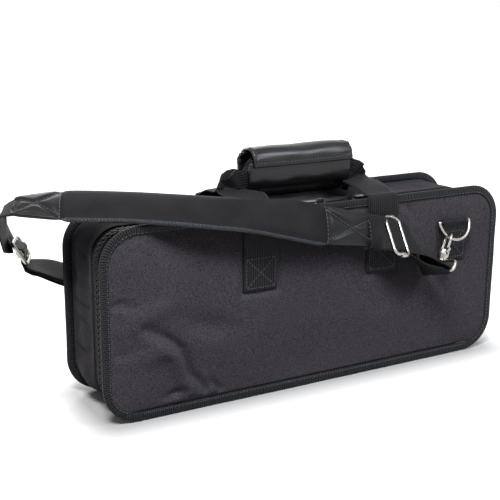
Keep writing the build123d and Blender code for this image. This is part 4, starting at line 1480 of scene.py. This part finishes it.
# %% Pad surface
pad_stations = [
    (-0.639, 0.261, 0.50, (0.33, 0.09), (-0.32, -0.11)),
    (-0.553, 0.028, 0.54, (0.44, 0.16), (-0.40, -0.23)),
    (-0.442, -0.288, 0.54, (0.44, 0.15), (-0.40, -0.25)),
    (-0.355, -0.532, 0.49, (0.46, 0.15), (-0.40, -0.26)),
    (-0.281, -0.621, 0.40, (0.44, 0.16), (-0.37, -0.29)),
    (-0.196, -0.672, 0.26, (0.38, 0.21), (-0.29, -0.32)),
    (-0.111, -0.686, 0.09, (0.36, 0.29), (-0.25, -0.39)),
    (-0.014, -0.690, -0.18, (0.22, 0.38), (-0.11, -0.42)),
    (0.119, -0.656, -0.49, (0.10, 0.33), (-0.06, -0.34)),
]
pad_turns = [27, 24, 24, 26, 28, 30, 31, 19, 0]
pad_width = 48 * MM
pad_half = pad_width / 2


def station_row(station, turn):
    """Crest, back edge and front edge of a section, nine numbers in metres."""
    x, y, z, back, front = station
    crest = Vector((x * 480 * MM, y * 99 * MM, 191 * MM + z * pad_width))
    flat = Vector((math.sin(math.radians(turn)), math.cos(math.radians(turn)), 0))
    ends = [crest + (flat * a + Vector((0, 0, b))) * pad_width for a, b in (back, front)]
    return [*crest, *ends[0], *ends[1]]


pad_rows = spline([station_row(s, t) for s, t in zip(pad_stations, pad_turns)], 2.5 * MM)
pad_runs = np.concatenate(
    [[0.0], np.cumsum(np.linalg.norm(np.diff(pad_rows[:, :3], axis=0), axis=1))]
)


def pad_sheet(i, v):
    """Point of the pad's middle surface at row i and share v, -1 at its back edge, 1 front."""
    crest, back, front = (Vector(pad_rows[i][k : k + 3]) for k in (0, 3, 6))
    return back * v * (v - 1) / 2 + crest * (1 - v * v) + front * v * (v + 1) / 2


across = 22
pad_points, pad_uv, pad_share = [], [], []
for i in range(len(pad_rows)):
    share = pad_runs[i] / pad_runs[-1]
    for k in range(2 * across):
        top = k < across
        v = (k if top else 2 * across - 1 - k) / (across - 1) * 2 - 1
        here = pad_sheet(i, v)
        tangent = pad_sheet(min(i + 1, len(pad_rows) - 1), v) - pad_sheet(max(i - 1, 0), v)
        width = pad_sheet(i, min(1, v + 0.1)) - pad_sheet(i, max(-1, v - 0.1))
        normal = width.cross(tangent).normalized()
        if normal.z - normal.y < 0:
            normal = -normal
        end = min(1.0, min(share, 1 - share) / 0.02)
        thick = (2.0 + 1.6 * (1 - v**6)) * (0.75 + 0.25 * end) * MM
        pad_points.append(here + normal * (thick if top else -thick))
        pad_uv.append((v * pad_half, pad_runs[i]))
        pad_share.append((share, v, normal))
pad = piece(
    "shoulder_pad",
    pad_points,
    rings_to_faces(len(pad_rows), 2 * across, False),
    pad_leather,
    None,
    pad_uv,
)
edge_points = [i for i, (share, v, _) in enumerate(pad_share) if abs(v) > 0.93]
inflate(pad, edge_points, 3.0, 16, 2.4 * MM, 12.0)
print("pad points", len(pad.data.vertices), "over", len(pad_rows), "rows")

# %% [markdown]
# The crossed seams and the seam that closes each end are valleys in the swollen pad. Each
# one is a line in the pad's own coordinates, length and width in metres.


# %% Pad seams
total = pad_runs[-1]
left_seam, right_seam, end_seam = 47 * MM, total - 64 * MM, 4 * MM


def seam_lines():
    """Lines ((run, across), (run, across)) sewn through the pad."""
    lines = []
    for inner, outer, wide_in, wide_out in (
        (left_seam, end_seam, 20 * MM, 15 * MM),
        (right_seam, total - end_seam, 19 * MM, 15 * MM),
    ):
        lines.append(((inner, -pad_half), (inner, pad_half)))
        lines.append(((outer, -wide_out), (outer, wide_out)))
        lines.append(((inner, -wide_in), (outer, wide_out)))
        lines.append(((inner, wide_in), (outer, -wide_out)))
    return lines


def line_gap(run, off, line):
    """Distance of a pad point from a seam line."""
    a, b, p = Vector(line[0]), Vector(line[1]), Vector((run, off))
    t = max(0.0, min(1.0, (p - a).dot(b - a) / (b - a).length_squared))
    return (p - a - (b - a) * t).length


fine = pad.modifiers.new("Fine", "SUBSURF")
fine.levels = fine.render_levels = 1
for i, vert in enumerate(pad.data.vertices):
    share, v, normal = pad_share[i]
    run, off = share * total, v * pad_half
    gap = min(line_gap(run, off, line) for line in seam_lines())
    press = 2.4 * math.exp(-((gap / (2.8 * MM)) ** 2))
    border = 0.9 * math.exp(-(((abs(v) - 0.86) / 0.05) ** 2))
    upper = i % (2 * across) < across
    vert.co = vert.co - normal * (press + border) * MM * (1 if upper else -0.6)
pad.data.materials.append(pad_end_leather)
for face in pad.data.polygons:
    along = pad_runs[min(face.vertices) // (2 * across)]
    if along < left_seam or along > right_seam:
        face.material_index = 1
pad.data.update()
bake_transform(pad)
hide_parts("shoulder_pad_cover", "pad_foam")


def pad_spot(run, off):
    """A place just over the pad's upper face, and the normal there."""
    row = min(len(pad_rows) - 2, int(np.searchsorted(pad_runs, run, side="right")) - 1)
    share = (run - pad_runs[row]) / (pad_runs[row + 1] - pad_runs[row])
    v = off / pad_half
    place = pad_sheet(row, v).lerp(pad_sheet(row + 1, v), share)
    vert = row * 2 * across + min(across - 1, max(0, round((v + 1) / 2 * (across - 1))))
    normal = pad_share[vert][2]
    flat = pad_sheet(row, pad_share[vert][1])
    return place + normal * ((pad.data.vertices[vert].co - flat).dot(normal) + 0.5 * MM), normal


def pad_line(line):
    """Points on the pad's upper face along a seam line, with normals."""
    ends, steps = [Vector(end) for end in line], 24
    spots = [pad_spot(*ends[0].lerp(ends[1], k / steps)) for k in range(steps + 1)]
    return [p for p, _ in spots], [q for _, q in spots]


first = int(np.argmin(np.abs(pad_runs - left_seam)))
last = int(np.argmin(np.abs(pad_runs - right_seam)))
edge = [pad_sheet(i, 0.97) for i in range(first, last + 1)]
roll = rope("pad_rolled_edge", edge, 2.5 * MM, pad_edge_ribs_and_sheen, None)
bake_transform(roll)
lines = [pad_line(line) for line in seam_lines()]
pad_thread = stitches("pad_thread", lines, pad_thread_paint, None)
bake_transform(pad_thread)
print("pad length", round(total, 3))

# %% [markdown]
# ## Strap webbing
#
# At each adjuster the strap passes behind the frame's outer bars and over the loose bar
# in the middle. It then runs to the hook's eye, folds round it and comes back to be sewn
# round the loose bar. One ribbon for all of that would cut through itself, so the long
# run and the return are two strips, which bow 5 to 10 mm apart on the way to the eye. A
# piece can bend across one joint only.


# %% Strap
def strap_rows(lead_in, gear, bar, wide, hook_down, spread):
    """Rows of the long strand and of the return strand at one end of the strap."""
    origin, x, y, out = gear
    run = bar - origin
    run = (run - wide * run.dot(wide)).normalized()
    normal = run.cross(wide).normalized()
    if normal.dot(hook_down) > 0:
        normal = -normal
    end_wide = normal.cross(run)
    middle_at = (origin + x * 16 * MM + bar) / 2
    middle_out = (out + normal).normalized()
    middle_wide = middle_out.cross((bar - origin).normalized())
    w = 38 * MM

    def row(place, across_to, width=w):
        return [*place, *across_to, width]

    def at(along, lift):
        return origin + (x * along + out * lift) * MM

    long_strand = list(lead_in)
    passes = (-19, -2.2), (-12.5, -3.0), (-6, 0.6), (0, 3.9), (6, 0.6), (12.5, -3.0), (19, -1.0)
    for along, lift in passes:
        long_strand.append(row(at(along, lift), y))
    long_strand.append(row(middle_at + middle_out * spread, middle_wide))
    for angle in (-25, 0, 45, 90, 135, 170):
        turn = math.radians(angle)
        spot = bar + (normal * math.cos(turn) + run * math.sin(turn)) * 3.0 * MM
        if angle < 0:
            spot = bar + normal * 3.4 * MM - run * 5 * MM
        long_strand.append(row(spot, end_wide, 36 * MM))
    back_strand = [row(at(a, b), y) for a, b in ((-2.4, -0.6), (-1.6, 1.9), (0, 2.5), (2.4, 1.4))]
    back_strand += [row(at(a, b), y) for a, b in ((5.5, -2.4), (12.5, -5.2), (19, -5.0))]
    back_strand.append(row(middle_at - middle_out * (spread + 0.8 * MM), middle_wide))
    back_strand.append(row(bar - normal * 3.4 * MM - run * 6 * MM, end_wide, 36 * MM))
    back_strand.append(row(bar - normal * 3.0 * MM, end_wide, 36 * MM))
    return long_strand, back_strand


def pad_end(i, run):
    """Two rows of strap inside the pad's end at row i, which the strap leaves along run."""
    wide = (pad_sheet(i, -1) - pad_sheet(i, 1)).normalized()
    return [[*(pad_sheet(i, 0) + run * inside * MM), *wide, 38 * MM] for inside in (-14, -4)]


lead = pad_end(len(pad_rows) - 1, Vector((1, 0, 0)))
front_long, front_back = strap_rows(lead, front_adjuster, eye_bar, eye_wide, down, 4.6 * MM)
bow_wide = Vector((0.44, 0.88, 0.1))
bow = [(-0.651, 0.330, 0.19), (-0.655, 0.390, 0.09), (-0.643, 0.500, -0.07)]
lead = pad_end(0, Vector((-0.89, 0.454, 0)))
lead += [[x * 0.48, y * 0.099, 0.191 + z * 0.099, *bow_wide, 38 * MM] for x, y, z in bow]
rear_long, rear_back = strap_rows(
    lead, rear_adjuster, to_back(eye_bar, True), to_back(eye_wide), to_back(down), 2.2 * MM
)


def hang(web, gear, bar):
    """Bakes the webbing's transform into its points."""
    away = bar - gear[0]
    gear[0] + away * 0.2
    gear[0] + away * 0.85
    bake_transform(web)


front_web = strip("front_strap_webbing", front_long, strap_web, None, 1.6 * MM, wave=0.4 * MM)
hang(front_web, front_adjuster, eye_bar)
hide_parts("front_strap_web")
front_loop = strip("front_strap_return", front_back, strap_web, None, 1.6 * MM)
hang(front_loop, front_adjuster, eye_bar)
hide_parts("front_strap_loop")
rear_web = strip("rear_strap_webbing", rear_long, strap_web, None, 1.6 * MM, wave=0.4 * MM)
hang(rear_web, rear_adjuster, to_back(eye_bar, True))
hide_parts("rear_strap_web")
rear_loop = strip("rear_strap_return", rear_back, strap_web, None, 1.6 * MM)
hang(rear_loop, rear_adjuster, to_back(eye_bar, True))
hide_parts("rear_strap_loop")
print("strap done")

# %% [markdown]
# ## Floor, light and camera
#
# The photograph is a cut-out on white with a soft shadow. More light would turn a floor
# white, but it would also wash out the blacks. So the floor and the world are white only
# to rays from the camera, and to those that shiny surfaces send on, while the bag itself
# is lit by a grey room.
# Near the bag that white fades out over a few centimetres, so a painted grey halo darkens the floor
# round the bag's footprint, on top of its real shadow.


# %% Floor
def shown(start):
    """1 for camera rays and for those that gloss or a clear surface sends on, or else 0."""
    kinds = ("Camera", "Glossy", "Transmission")
    rays = [start.node("LightPath", out=f"Is {kind} Ray") for kind in kinds]
    return (rays[0] + rays[1] + rays[2]).ramp(0.0, 1.0)


floor_paint, floor_shader, spot, axes = material("floor_paint", Roughness=0.6)
mist = axes[0].node("TexNoise", Vector=spot, Scale=2.0, Detail=1.0)
seen = shown(mist)
# Painted shadow: the camera sees this grey floor only near the bag, where the white glow below is
# faded out, as a grey halo round its footprint.
shade = seen.mix(colour((110, 110, 111)), colour((172, 172, 173)))
attach(floor_shader, (mist * 0.1).mix(shade, colour((150, 150, 151))))
bag_halves = (0.232, 0.045)
past = [
    (axis.maths("ABSOLUTE", axis) - half).ramp(0.0, 1.0) for axis, half in zip(axes, bag_halves)
]
away = (past[0] ** 2.0 + past[1] ** 2.0) ** 0.5
# Painted shadow: the white glow is faded out within about 7 cm of the bag's footprint, so the floor
# stays grey round the bag.
glow_past_painted_halo = away.ramp(0.01, 0.07) * seen
glow_past_painted_halo = glow_past_painted_halo.mix((0, 0, 0, 1), (1, 1, 1, 1))
floor_paint.node_tree.links.new(glow_past_painted_halo.out, floor_shader.inputs["Emission Color"])
floor_shader.inputs["Emission Strength"].default_value = 1.0
bpy.ops.mesh.primitive_plane_add(size=30, location=(0, 0, -0.0003))
floor = bpy.context.object
floor.name = "floor"
floor.data.materials.append(floor_paint)
print("floor at", round(floor.location.z / MM, 2), "mm")

# %% [markdown]
# ### Room light
#
# A studio's walls send soft light from above and less from below. A picture of a room
# isn't needed for that: the light grows with the height that a ray comes from.

# %% Room light
ambient = 0.3
world = bpy.data.worlds.new("studio")
bpy.context.scene.world = world
world.use_nodes = True
sky = world.node_tree.nodes["Background"]
sky.inputs["Color"].default_value = (1, 1, 1, 1)
sky_start = Wire(world.node_tree)
facing = sky_start.node("TexCoord", out="Generated")
height = sky_start.node("SeparateXYZ", Vector=facing, out=2)
seen = shown(sky_start)
soft = (height.ramp(-0.1, 0.9) * 0.8 + 0.6) * ambient
power = seen * (1.0 - soft) + soft
world.node_tree.links.new(power.out, sky.inputs["Strength"])
print("room light", ambient)

# %% [markdown]
# ### Lamps
#
# A key lamp at the upper left rakes across the folds. A small cool lamp gives the shine on
# leather and metal, and one behind lights the far edges. A sun would cast hard shadows, so
# all three are soft squares.


# %% Lamps
def lamp(name, place, target, size, power, tint=(1, 1, 1)):
    """A soft area light aimed at a target."""
    data = bpy.data.lights.new(name, "AREA")
    data.size, data.energy, data.color = size, power, tint
    obj = bpy.data.objects.new(name, data)
    obj.location = place
    aim = Vector(target) - Vector(place)
    obj.rotation_euler = aim.to_track_quat("-Z", "Y").to_euler()
    bpy.context.scene.collection.objects.link(obj)


lamp("key", (-0.8, -0.95, 1.75), (0, 0, 0.1), 0.5, 54)
lamp("shine", (0.75, -1.1, 1.1), (0, 0, 0.2), 0.45, 11, (0.86, 0.91, 1.0))
lamp("back", (0.3, 1.5, 1.0), (0, 0, 0.15), 1.0, 12)
print("lamps", len(bpy.data.lights))

# %% [markdown]
# ### Camera
#
# The camera comes from a fit to the straight edges of the box in the photograph. Placing
# it by eye would put every edge a little off. Its angles, its place and its focal length
# in pixels are the fit's own numbers.

# %% Camera
photo_side, focal_pixels, film = 500, 1005.763, 36
azimuth, elevation, roll = math.radians(30.0587), math.radians(14.6661), math.radians(0.3438)
forward = Vector(
    (
        math.sin(azimuth) * math.cos(elevation),
        math.cos(azimuth) * math.cos(elevation),
        -math.sin(elevation),
    )
)
level = Vector((math.cos(azimuth), -math.sin(azimuth), 0))
upward = level.cross(forward)
right = level * math.cos(roll) + upward * math.sin(roll)
top = upward * math.cos(roll) - level * math.sin(roll)
eye = bpy.data.cameras.new("camera")
eye.sensor_width = film
eye.lens = focal_pixels / photo_side * film
camera = bpy.data.objects.new("camera", eye)
bpy.context.scene.collection.objects.link(camera)
turn = Matrix((right, top, -forward)).transposed().to_4x4()
camera.matrix_world = Matrix.Translation((-0.581544, -0.907355, 0.420065)) @ turn
bpy.context.scene.camera = camera
bpy.context.scene.view_settings.view_transform = "Standard"
print("lens", round(eye.lens, 2))
